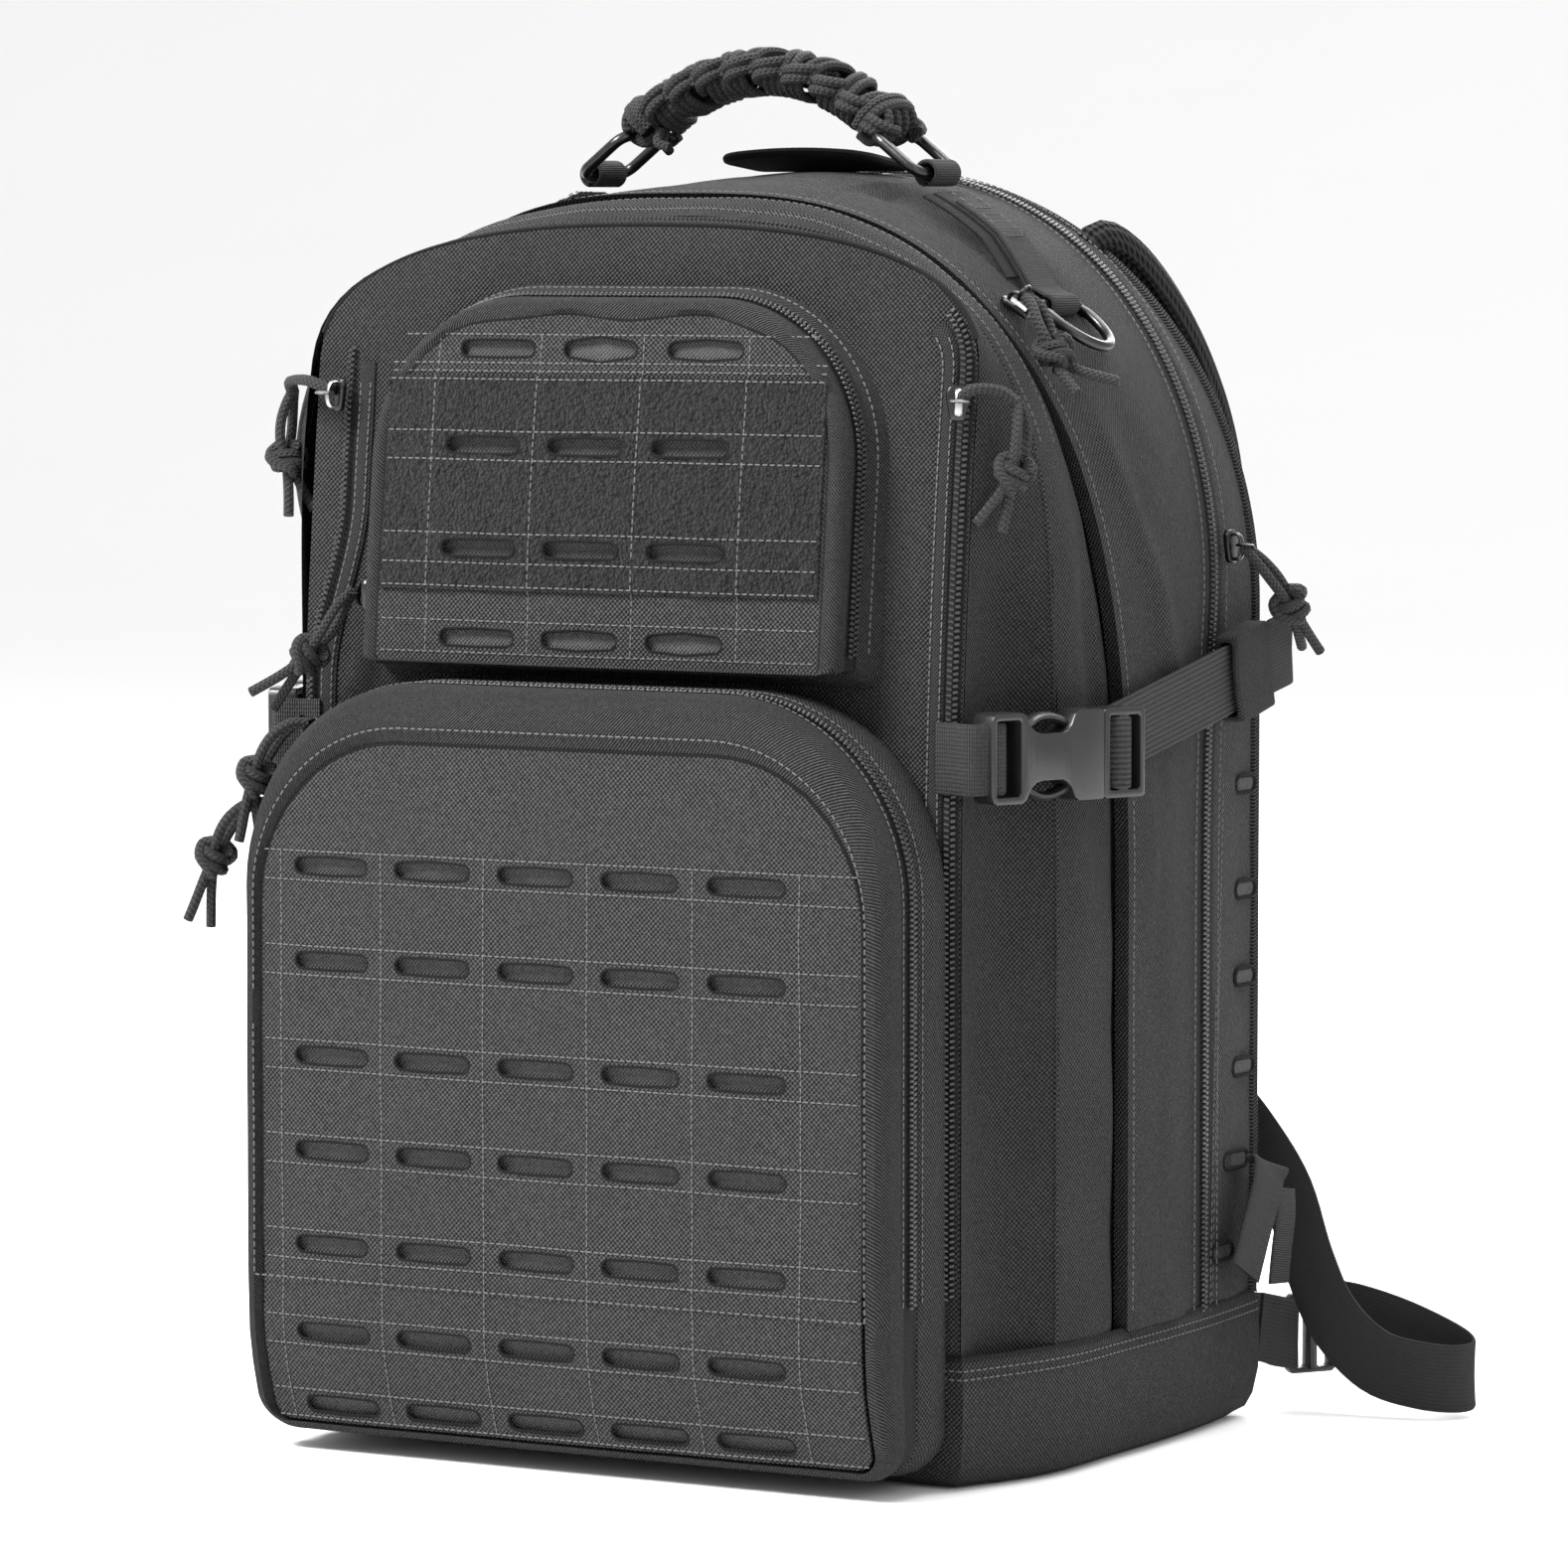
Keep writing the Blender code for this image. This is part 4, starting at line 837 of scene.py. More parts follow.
def rear_side():
    """The laminate side panel behind the rear zip, with its slots."""
    rows = band_rows(REAR_ZIP, BACK_EDGE, [0.06 + 0.94 * i / 8 for i in range(9)],
                     lambda t, p, d: 0.0016 * math.sin(math.pi * t) + 0.0008 * rough(p, 30, 9.0))
    grid("rear_side_cloth", rows, "laminate", "pack", stands="rear_side_panel")
    trim, pads, stitches = Bundle(), Bundle(), Stitches()
    for side, _ in SIDES:
        for y, z, long in ((0.086, 0.2345, 0.016), (0.0865, 0.196, 0.016), (0.0865, 0.164, 0.016),
                           (0.085, 0.131, 0.017), (0.078, 0.0975, 0.02), (0.066, 0.065, 0.017)):
            x = 0.1505 - (y - 0.05) / 0.048 * 0.004 + 0.0012
            path = [V((side * (x + 0.0006), v, w)) for v, w in slot_outline(y, z, long, 0.0062)]
            trim.take(sweep_data(path, circle(0.0008, 6), V((side, 0, 0)), None, True))
            place = lambda u, v, depth: V((side * (x + 0.0003 + depth), u, v))
            pads.take(cloth_data(slot_outline(y, z, long, 0.0056), [], 0.02, place, 0.0, walls=False))
        for start, end, top in ((0.069, 0.059, 0.3), (0.06, 0.056, 0.16)):
            x = 0.1518 - (start - 0.05) / 0.048 * 0.004
            path = [V((side * x, start + (end - start) * k / 20,
                       top + (0.04 - top) * k / 20)) for k in range(21)]
            stitches.run(path, V((side, 0, 0)))
    # Dark rims round the side slots: the cut's own dark edge, and painted shade of the slot's rim.
    trim.piece("side_slot_rims_and_shade", "seam", "pack")
    pads.piece("side_slot_backing", "backing", "pack")
    stitches.piece("side_panel_stitches", "pack")


def back():
    """The back panel and its rim binding."""
    outline = [(p.x, p.z) for p in arch(BACK_EDGE, 0.0006, 120)]
    place = lambda u, v, depth: V((u, BACK_Y + 0.0026 + 0.0012 * (1 - (u / 0.146) ** 2), v))
    cloth("back_panel_cloth", outline, [], 0.012, place, 0.0, "cordura", "pack", walls=False,
          stands="back_panel")
    feet = [[V((x, BACK_Y + 0.0015, 0.047))] for x in (0.146, -0.146)]
    path = feet[0] + [p + V((0, 0.0015, 0)) for p in arch(BACK_EDGE, 0.0004, 220)] + feet[1]
    sweep("back_edge_binding", path, circle(0.0026, 8), "binding", "pack")


def shell_zips():
    for side, word in SIDES:
        path, outs, rows = [], [], [[], [], [], []]
        for p, q in zip(arch(FRONT_EDGE, 0.005, 320), arch(FRONT_EDGE, -0.005, 320)):
            shift = V((-side * drawn_in(side, p.z), 0, 0))
            p, q = p + shift, q + shift
            if 0.066 <= p.z <= 0.408 - 1.2 * ZIP_DRAWN_IN[side] and p.x * side > 0:
                flat_way = (q - p).normalized()
                out = (flat_way * 0.5 + V((0, -0.86, 0))).normalized()
                path.append(p + out * 0.0018)
                outs.append(out)
                for row, along, back in zip(rows, (-0.004, -0.0018, 0.0022, 0.0042),
                                            (0.0002, -0.0006, -0.0004, 0.0012)):
                    row.append(p + flat_way * along + V((0, back, 0)))
        zip_teeth("front_zip_" + word + "_coil", path, outs, "pack", 0.0021)
        grid("front_zip_" + word + "_tape", rows, "tape", "pack", stands="zipper_front_" + word)
    legs = list(zip(arch(REAR_ZIP, -0.0012, 320), arch(REAR_ZIP, -0.0112, 320)))
    legs = [(p + V((0, 0.0002, 0)), (q - p).normalized()) for p, q in legs if BASE_TOP <= p.z <= 0.47]
    zip_teeth("rear_zip_coil", *zip(*legs), "pack", 0.0019)
    rows = [[p + V((0, across, 0)) - out * 0.0005 for p, out in legs] for across in np.linspace(-0.0075,
                                                                                                0.0075, 5)]
    grid("rear_zip_tape", rows, "tape", "pack", stands="zipper_rear")
    stitches = Stitches()
    outs = [(q - p).normalized() for p, q in zip(arch(REAR_ZIP, 0, 260), arch(REAR_ZIP, -0.01, 260))]
    for shift in (-0.009, 0.009):
        path = [p + V((0, shift, 0)) for p in arch(REAR_ZIP, -0.0022, 260)]
        stitches.run(path, nearest_of(path, outs))
    stitches.piece("rear_zip_stitches", "pack")


shell_bands()
front_panel()
edge_strip()
seam_rows()
base()
rear_side()
back()
shell_zips()


# ---------------------------------------------------------------- front pockets
def loft(loops):
    """Rows of points through outlines: each loop is (outline, y as a function of x and z)."""
    return [on_face(outline, depth) for outline, depth in loops]


def on_face(outline, depth, *lift):
    """An outline's points in space, at the y that depth gives."""
    return [V((u, depth(u, v, *lift), v)) for u, v in outline]


def sheet(face):
    """Puts a sheet on a pocket's face."""
    return lambda u, v, depth: V((u, face(u, v, depth), v))


def split_at(rows, level):
    """A closed loft cut at a height: the data of the faces above it and of those below."""
    for row in rows:
        for half in (range(0, len(row) // 2), range(len(row) // 2, len(row))):
            near = min(half, key=lambda i: abs(row[i].z - level))
            row[near].z = level
    return parted(rows, level, True)


def slot_edges_and_shade(name, slots, face, lifts, body, **more):
    """The dark cut edge round each slot: the cut's own dark colour, and painted shade of the slot's rim."""
    edges = Bundle()
    for slot, lift in zip(slots, lifts):
        edges.take(sweep_data(on_face(slot, face, lift), circle(0.00055, 6), closed=True))
    edges.piece(name, "seam", body, **more)


def open_span(outline, low):
    """The stretch of an outline above a height, from its right flank round the top to its left."""
    start = next(i for i, (u, v) in enumerate(outline) if v > low and u > 0)
    return start, next(i for i, (u, v) in enumerate(outline) if v < low and u < 0 and i > start)


def lower_outline(inset):
    return rounded_rect(-LOWER_HALF + inset, LOWER_HALF - inset, LOWER_BOTTOM + inset, LOWER_TOP - inset,
                        max(0.014 - inset, 0.004), LOWER_RADIUS - inset)


def lower_panel_outline(grow=0.0):
    return rounded_rect(-0.1225 - grow, 0.1225 + grow, 0.0115 - grow, 0.2555 + grow, 0.006, 0.058 + grow)


def lower_face_y(x, z, lift=0.0):
    """The lower pocket's soft front: nearly flat, set back at its foot."""
    ripple = 0.0007 * rough((x * 1.3, 1.0, z), 24, 4.0) + 0.0004 * rough((x, 2.0, z * 2.0), 60, 7.0)
    edge = 0.0016 * max(0.0, (abs(x) / 0.1225) ** 6 + 0.6 * hump(z, 0.2555, 0.012))
    return LOWER_FRONT_Y - 0.0012 + 0.01 * set_back(z) + ripple + edge - lift


def set_back(z):
    """How far the lower pocket's front goes back towards its foot, as a share."""
    return ramp((FOLD_Z - 0.012 - z) / 0.04) ** 1.5


def lower_pocket():
    fold = ("pack", "lower_cover", (0, 0, FOLD_Z - 0.01), (0, 0, FOLD_Z + 0.006))
    slots = [slot_outline(PITCH * (column - 2) - 0.0075 + 0.0004 * rough((column, z * 9, 0), 3, 2.0), z,
                          gape=0.0002 + 0.0005 * abs(rough((column * 1.1, z * 40, 1), 1.3, 1.0)))
             for z in LOWER_ROWS for column in range(5)]
    cloth("lower_laser_panel", lower_panel_outline(), slots, 0.0058, sheet(lower_face_y), 0.0015, "laminate",
          None,
          sharp=32, blend=fold, stands="lower_molle_panel")
    # Dark tubes round the slots: the cut edges' own dark colour, and painted shade of their rims.
    slot_edges_and_shade("lower_slot_edges", slots, lower_face_y, [0.0012] * len(slots), None, blend=fold)
    under = lambda u, v, depth: V((u, lower_face_y(u, v, -0.0016), v))
    cloth("lower_backing", lower_panel_outline(-0.001), [], 0.01, under, 0.0, "backing", None, walls=False,
          blend=fold)
    stitch = Stitches()
    for row, z in enumerate(LOWER_ROWS):
        for dz in (0.0052, -0.0052):
            path = [V((u, lower_face_y(u, z + dz, 0.0017), z + dz + 0.0004 * rough((u, 0, z), 14, row)))
                    for u in np.linspace(-0.1215, 0.1215, 60)]
            stitch.run(path, FORWARD, 0.0027)
    for column in range(6):
        x = PITCH * (column - 2.5) - 0.0075
        drift = lambda z: x + 0.0005 * rough((x * 5, 0, z), 12, 4.0)
        path = on_face([(drift(z), z) for z in np.linspace(0.2167, 0.0128, 90)], lower_face_y, 0.0017)
        stitch.run(path, FORWARD, 0.0027)
    stitch.piece("lower_panel_stitches", None, blend=fold)
    lower_frame()
    lower_box()


def lower_frame():
    """The twill frame between the laser-cut panel and the zip, in two pieces that part at the fold."""
    front = lambda extra: lambda x, z: lower_face_y(x, z, 0.0) + extra
    soft = lambda y, share: lambda x, z: y + share * 0.01 * set_back(z) + 0.0006 * rough((x, 3.0, z), 34, 2.0)
    panel, rim = lower_panel_outline(), lower_outline(0.0)
    loops = [(lower_panel_outline(0.0006), front(0.001)), (lower_panel_outline(0.0012), front(-0.001)),
             (blend_outline(panel, rim, 0.35), soft(-0.1534, 1.0)),
             (blend_outline(panel, rim, 0.7), soft(-0.1526, 1.0))]
    loops += [(lower_outline(inset), soft(y, share)) for inset, y, share in (
        (0.0016, -0.15, 0.9), (-0.0004, -0.1465, 0.7), (-0.001, -0.142, 0.5), (-0.0006, -0.138, 0.3),
        (0.0006, -0.1362, 0.2), (0.004, -0.136, 0.2))]
    upper, lower = split_at(loft(loops), FOLD_Z)
    add("lower_frame_cover", upper, "binding", "lower_cover", sharp=50, stands="lower_pocket_flap")
    add("lower_frame_foot", lower, "binding", "pack", sharp=50, stands="lower_pocket_skirt")
    above = lambda outline: [(u, v) for u, v in outline if v > FOLD_Z + 0.002]
    path = on_face(above(lower_panel_outline(0.0004)), lower_face_y, 0.0007)
    sweep("lower_panel_seam", path, circle(0.0008, 6), "seam", "lower_cover")
    stitches = Stitches()
    path = on_face(above(blend_outline(panel, rim, 0.3)), soft(-0.1536, 1.0))
    cut = max(range(len(path) - 1), key=lambda i: (path[i + 1] - path[i]).length)
    stitches.run(path[cut + 1 :] + path[: cut + 1], FORWARD)
    stitches.piece("lower_frame_stitches", "lower_cover")


def blend_outline(first, second, t):
    return [(a[0] + (b[0] - a[0]) * t, a[1] + (b[1] - a[1]) * t) for a, b in zip(first, second)]


def outline_outs(outline):
    """Outward directions in the xz plane at each point of a counter-clockwise outline."""
    outs = []
    for i in range(len(outline)):
        (ax, az), (bx, bz) = outline[i - 1], outline[(i + 1) % len(outline)]
        outs.append(V((bz - az, 0, -(bx - ax))).normalized())
    return outs


def lower_box():
    """The pocket's side wall and its zip: coil, tapes and their stitching."""
    wall = lambda y, puff: lambda x, z: y + 0.0007 * rough((x, 5.0, z), 30, 3.0) * puff
    loops = [(lower_outline(inset), wall(y, puff)) for inset, y, puff in (
        (0.001, -0.1282, 0), (-0.0004, -0.127, 1), (-0.0016, -0.12, 1), (-0.0012, -0.112, 1),
        (0.0004, -0.1062, 0),
        (0.003, -0.105, 0))]
    grid("lower_box_cloth", loft(loops), "cordura", "pack", closed=True, stands="lower_pocket_box")
    outline, outs = lower_outline(-0.0004), outline_outs(lower_outline(-0.0004))
    start, stop = open_span(outline, FOLD_Z)
    ring = [V((u, LOWER_ZIP_Y, v)) for u, v in outline[start:stop]]
    zip_teeth("lower_zip_coil", ring, outs[start:stop], "pack", 0.0019)
    loops = [(lower_outline(0.0006), lambda x, z, k=k: -0.1364 + 0.0084 * k / 4) for k in range(5)]
    grid("lower_zip_tape", loft(loops), "tape", "pack", closed=True, stands="zipper_lower")
    for y, body in ((-0.1258, "pack"), (-0.1392, "lower_cover")):
        path, stitches = [V((u, y, v)) for u, v in lower_outline(-0.0012)[start:stop]], Stitches()
        stitches.run(path, nearest_of(path, outs[start:stop]), 0.0028)
        stitches.piece("lower_zip_stitches_" + body, body)


def upper_outline(inset):
    return rounded_rect(-UPPER_HALF + inset, UPPER_HALF - inset, UPPER_BOTTOM + inset, UPPER_TOP - inset,
                        max(0.006 - inset, 0.002), UPPER_RADIUS - inset)


def upper_panel_outline(grow=0.0):
    return rounded_rect(-0.0905 - grow, 0.0905 + grow, 0.2835 - grow, 0.4065 + grow, 0.003, 0.05 + grow)


def upper_face(x, z, lift=0.0):
    """The upper pocket's soft front, a little puffed and puckered along its top."""
    puff = 0.002 * (1 - (x / 0.092) ** 2) * math.sin(math.pi * min(1, max(0, (z - 0.2835) / 0.123)))
    pucker = 0.001 * math.sin(x * 2 * math.pi / 0.052 + 0.6) * hump(z, 0.402, 0.013)
    return upper_y(0.0222 + puff + pucker + 0.0005 * rough((x, 6.0, z), 26, 5.0) + lift, z)


def upper_pocket():
    body = "upper_cover"
    gapes = {0.3945: (0.0002, 0.0016, 0.0008), 0.2926: (0.0003, 0.0007, 0.001)}
    spots = [(PITCH * (column - 1) - 0.006 + (0.0032 if z > 0.39 else 0.0), z, column)
             for z in UPPER_ROWS for column in range(3)]
    slots = [slot_outline(x, z, gape=gapes.get(z, (0.0002,) * 3)[column]) for x, z, column in spots]
    in_pile = [PILE_FOOT < z < PILE_TOP for _, z, _ in spots]
    cloth("upper_laser_panel", upper_panel_outline(), slots, 0.0058, sheet(upper_face), 0.0013, "laminate",
          body,
          sharp=32, stands="upper_molle_panel")
    # Dark tubes round the slots: the cut edges' own dark colour, and painted shade of their rims.
    slot_edges_and_shade("upper_slot_edges", slots, upper_face, [0.0025 if high else 0.001 for high in in_pile], body)
    under = lambda u, v, depth: V((u, upper_face(u, v, -0.0014), v))
    cloth("upper_backing", upper_panel_outline(-0.001), [], 0.01, under, 0.0, "backing", body, walls=False)
    field = rounded_rect(-0.0895, 0.0895, PILE_FOOT, PILE_TOP, 0.001, 0.001, steps=2, cuts=20)
    fuzzy = lambda u, v, depth: V((u, upper_face(u, v,
                                                 0.0012 + depth * (1 + 0.5 * rough((u, 0, v), 420, 1.0))), v))
    cloth("upper_loop_pile", field, [slot for slot, high in zip(slots, in_pile) if high], 0.003, fuzzy,
          0.0014,
          "loop_pile", body, sharp=32, stands="loop_field")
    stitches, way = Stitches(), V((0, -1, 0.1))
    for lift, levels in ((0.0015, (0.3995, 0.3895, 0.3866)),
                         (0.0028, (0.3838, 0.3655, 0.3553, 0.3295, 0.319, 0.3108)),
                         (0.0015, (0.2985, 0.2872))):
        for z in levels:
            half = 0.089 if z < 0.395 else 0.084
            path = [V((u, upper_face(u, z, lift), z + 0.0003 * rough((u, 0, z), 20, 2.0)))
                    for u in np.linspace(-half, half, 50)]
            stitches.run(path, way, 0.0029)
    for column in range(4):
        x = PITCH * (column - 1.5) - 0.006
        path = [V((x, upper_face(x, z, 0.0027 if PILE_FOOT < z < PILE_TOP else 0.0014), z))
                for z in np.linspace(0.2872, 0.3995, 60)]
        stitches.run(path, way, 0.0029)
    stitches.piece("upper_panel_stitches", body)
    upper_frame()


def upper_frame():
    """The twill rim of the upper pocket, its zip on the side wall, and the flaring foot of the wall."""
    depth = lambda d: lambda x, z: upper_y(d + 0.0004 * rough((x, 7.0, z), 36, 3.0), z)
    face = lambda extra: lambda x, z: upper_face(x, z, 0.0) + extra
    rings = lambda *pairs: [(upper_outline(inset), depth(d)) for inset, d in pairs]
    wavy = [(u, v - 0.0022 * (0.5 + 0.5 * math.sin(u * 2 * math.pi / 0.052 + 0.6)) * hump(v, 0.4065, 0.008))
            for u, v in upper_panel_outline(0.0004)]
    loops = [(wavy, face(0.0016)), (wavy, face(-0.0012)),
             (blend_outline(wavy, upper_outline(0.0046), 0.35), depth(0.0246)),
             (blend_outline(wavy, upper_outline(0.0046), 0.75), depth(0.024))]
    loops += rings((0.005, 0.0222), (0.0042, 0.0196), (0.0044, 0.017), (0.0056, 0.016))
    grid("upper_rim_cover", loft(loops), "binding", "upper_cover", closed=True, sharp=50,
         stands="upper_pocket_flap")
    loops = rings((0.005, 0.0106), (0.0034, 0.011), (0.0018, 0.008), (0.0002, 0.004), (-0.0014, 0.001),
                  (-0.0018, -0.0016))
    grid("upper_box_cloth", loft(loops), "binding", "pack", closed=True, sharp=50, stands="upper_pocket_box")
    outline = upper_outline(0.0036)
    outs = [(o + V((0, -0.25, 0))).normalized() for o in outline_outs(outline)]
    start, stop = open_span(outline, 0.2875)
    ring = [V((u, upper_y(0.0136, v), v)) for u, v in outline]
    zip_teeth("upper_zip_coil", ring[start:stop], outs[start:stop], "pack", 0.0019)
    loops = rings((0.0052, 0.0166), (0.005, 0.0136), (0.0044, 0.0104))
    grid("upper_zip_tape", loft(loops), "tape", "pack", closed=True, stands="zipper_upper")
    seam = on_face(wavy, upper_face, 0.0006)
    sweep("upper_panel_seam", seam, circle(0.0009, 6), "seam", "upper_cover", closed=True)
    stitches = Stitches()
    path = [V((u, upper_y(0.0064, v), v)) for u, v in upper_outline(0.001)][start:stop]
    stitches.run(path, V((0.6, -0.8, 0)), 0.0029)
    stitches.piece("upper_outer_stitches", "pack")


lower_pocket()
upper_pocket()


# ---------------------------------------------------------------- webbing, buckles and fittings
CHORD_START, STRAP_Z, STRAP_RISE = V((0.1415, -0.113, 0.255)), 0.255, 0.0275
CHORD_WAY, CHORD_OUT = V((0.35, 0.937, 0)).normalized(), V((0.937, -0.35, 0)).normalized()


def mirrored(point, side):
    return V((side * point[0], point[1], point[2]))


def run_through(side, places, per_span):
    """A smooth path through places that are given for the right flank."""
    return smooth_path([mirrored(place, side) for place in places], per_span)


def chord(along, out=0.0, up=0.0):
    """A point on the buckle's line: along it, out of the pack, and up."""
    return CHORD_START + CHORD_WAY * along + CHORD_OUT * out + UP * up


def softened(points, faces, bevel):
    """The same closed mesh with its sharp edges rounded off."""
    mesh = bmesh.new()
    corners = [mesh.verts.new(p) for p in points]
    for face in faces:
        mesh.faces.new([corners[i] for i in face])
    bmesh.ops.recalc_face_normals(mesh, faces=mesh.faces)
    edges = [e for e in mesh.edges if e.is_manifold and e.calc_face_angle() > math.radians(25)]
    bmesh.ops.bevel(mesh, geom=edges, offset=bevel, segments=2, affect="EDGES", profile=0.5,
                    clamp_overlap=True)
    mesh.verts.index_update()
    result = [v.co.copy() for v in mesh.verts], [tuple(v.index for v in f.verts) for f in mesh.faces]
    mesh.free()
    return result


def solid_plate(name, outline, holes, low, high, place, finish, body, bevel, **more):
    """A closed plate with rounded edges. place(u, v, depth) puts it in space, from depth low to high."""
    spots, sheet_faces, rims = tessellated(outline, holes, [])
    count, faces = len(spots), []
    for face in sheet_faces:
        faces += [face, tuple(count + i for i in face)[::-1]]
    for rim in rims:
        faces += [(a, b, count + b, count + a) for a, b in zip(rim, rim[1:] + rim[:1])]
    points = [place(p.x, p.y, depth) for depth in (high, low) for p in spots]
    return add(name, (*softened(points, faces, bevel), None), finish, body, **more)


def symmetric(upper):
    """An outline from its upper half, mirrored in v."""
    return [(u, -v) for u, v in upper] + [(u, v) for u, v in reversed(upper)]


def window(left, right, half, radius=0.0008):
    return rounded_rect(left, right, -half, half, radius, radius, steps=2, cuts=1)


def ribbon(name, path, wide, thick, finish, body, side, **more):
    return sweep(name, path, strap_section(wide, thick), finish, body, side, **more)


def buckle(side, word):
    """A side-release buckle: waisted socket, and a plug whose prongs show in the socket's two notches."""
    place = lambda u, v, depth: mirrored(chord(u, depth, v), side)
    upper = [(0.008, 0.0128), (0.0088, 0.015), (0.0105, 0.0158), (0.0222, 0.0158), (0.024, 0.0146),
             (0.0262, 0.0106), (0.0285, 0.0088), (0.0315, 0.0082), (0.0405, 0.0082), (0.0428, 0.009),
             (0.0446, 0.011), (0.0462, 0.0146), (0.0482, 0.0158), (0.059, 0.0158), (0.06, 0.0148)]
    solid_plate("buckle_socket_shell_" + word, symmetric(upper), [window(0.0104, 0.0214, 0.0132)], -0.0052,
                0.0052,
                place, "acetal", "pack", 0.0012, stands="buckle_socket_" + word)
    bar = Bundle()
    bar.take(sweep_data([place(0.0132, v, -0.0006) for v in (-0.0136, 0, 0.0136)], circle(0.0019, 10)))
    bar.take(sweep_data([place(0.0236, v, 0.0047) for v in (-0.0072, 0.0072)], circle(0.0009, 8)))
    bar.piece("buckle_bar_" + word, "acetal", "pack")
    plug = "plug_" + word
    tail = [(0.0604, 0.015), (0.0614, 0.0158), (0.0782, 0.0158), (0.0794, 0.0148)]
    windows = [window(0.0632, 0.0672, 0.013), window(0.0712, 0.077, 0.013)]
    solid_plate("buckle_plug_frame_" + word, symmetric(tail), windows, -0.0046, 0.0046, place, "acetal", plug,
                0.0009,
                stands="buckle_plug_" + word)
    prongs, section = Bundle(), [(a, b * 1.9) for a, b in circle(0.0017, 10)]
    route = [(0.061, 0.01), (0.052, 0.0104), (0.0465, 0.0108), (0.042, 0.0126), (0.037, 0.0138),
             (0.032, 0.0134), (0.028, 0.0114), (0.0262, 0.0098)]
    for v in (1, -1):
        path = smooth_path([place(u, v * w, 0.0) for u, w in route], 4)
        scales = [1.0 - 0.45 * max(0, i - len(path) + 6) / 6 for i in range(len(path))]
        prongs.take(sweep_data(path, section, UP, scales))
    prongs.take(sweep_data([place(u, 0, 0) for u in (0.061, 0.044)], circle(0.0016, 8), UP))
    prongs.piece("buckle_prongs_" + word, "acetal", plug)
    route = [(0.0775, -0.0036), (0.0745, 0.0002), (0.0722, 0.004), (0.0692, 0.0054), (0.0664, 0.0042),
             (0.0648, 0.0004), (0.0632, -0.0036)]
    path = smooth_path([place(u, 0, w) for u, w in route], 3)
    ribbon("plug_webbing_" + word, path, 0.025, 0.0016, "webbing_long", plug, UP)


def compression_strap(side, word):
    root = [mirrored(p, side) for p in ((0.127, -0.1062, STRAP_Z), (0.1345, -0.1082, STRAP_Z))]
    curl = [mirrored(chord(u, w, 0), side) for u, w in (
        (0.001, 0.0004), (0.006, 0.0016), (0.0105, 0.003), (0.014, 0.0034), (0.016, 0.0018), (0.0162, -0.001),
        (0.014, -0.0034), (0.008, -0.003))]
    ribbon("front_strap_webbing_" + word, smooth_path(root + curl, 4), 0.0248, 0.0018, "webbing", "pack", UP,
           stands="strap_front_" + word)
    buckle(side, word)
    rise = lambda y: STRAP_Z + STRAP_RISE * (max(y, -0.0475) + 0.0475) / 0.1435
    places = ((0.1545, -0.0545), (0.1566, -0.043), (0.157, -0.03), (0.1574, 0.0), (0.1582, 0.03),
              (0.1584, 0.066), (0.1582, 0.096))
    path = run_through(side, [(x, y, rise(y)) for x, y in places], 6)
    ribbon("rear_strap_webbing_" + word, path, 0.0252, 0.0018, "webbing_long", "pack", UP,
           stands="strap_rear_" + word)
    under = [V((side * (abs(p.x) - 0.0019), p.y, p.z - 0.0004)) for p in path]
    ribbon("rear_strap_under_" + word, under, 0.0246, 0.0017, "webbing_long", "pack", UP)
    end = ((0.16, 0.074), (0.1603, 0.088), (0.1607, 0.0985), (0.1598, 0.1003), (0.1588, 0.099),
           (0.1586, 0.088))
    path = run_through(side, [(x, y, rise(y) + 0.0008) for x, y in end], 4)
    ribbon("strap_folded_end_" + word, path, 0.0262, 0.0015, "webbing", "pack", UP)
    keeper(side, word)


def keeper(side, word):
    """The cloth sleeve that holds the strap's free end down."""
    centre, way = V((side * 0.1586, 0.066, 0.27675)), V((0, 0.9821, 0.1882))
    across, out, rows = UP - way * UP.dot(way), mirrored(X_AXIS, side), []
    for along, grow in ((-0.0125, 0.0), (-0.0138, 0.0004), (-0.014, 0.0016), (-0.0128, 0.0024), (0.0, 0.0026),
                        (0.0128, 0.0024), (0.014, 0.0016), (0.0138, 0.0004), (0.0125, 0.0)):
        outline = rounded_rect(-0.0138 - grow, 0.0138 + grow, -0.0024 - grow, 0.0024 + grow, 0.0016, 0.0016,
                               3, 4)
        shape = lambda u: 0.0016 * (u / 0.015) ** 2 * (1 if along < 0 else 0.4)
        rows.append([centre + way * (along + shape(u)) + across * u + out * v for u, v in outline])
    grid("keeper_sleeve_" + word, rows, "binding", "keeper_" + word, closed=True, sharp=60,
         stands="strap_keeper_" + word)


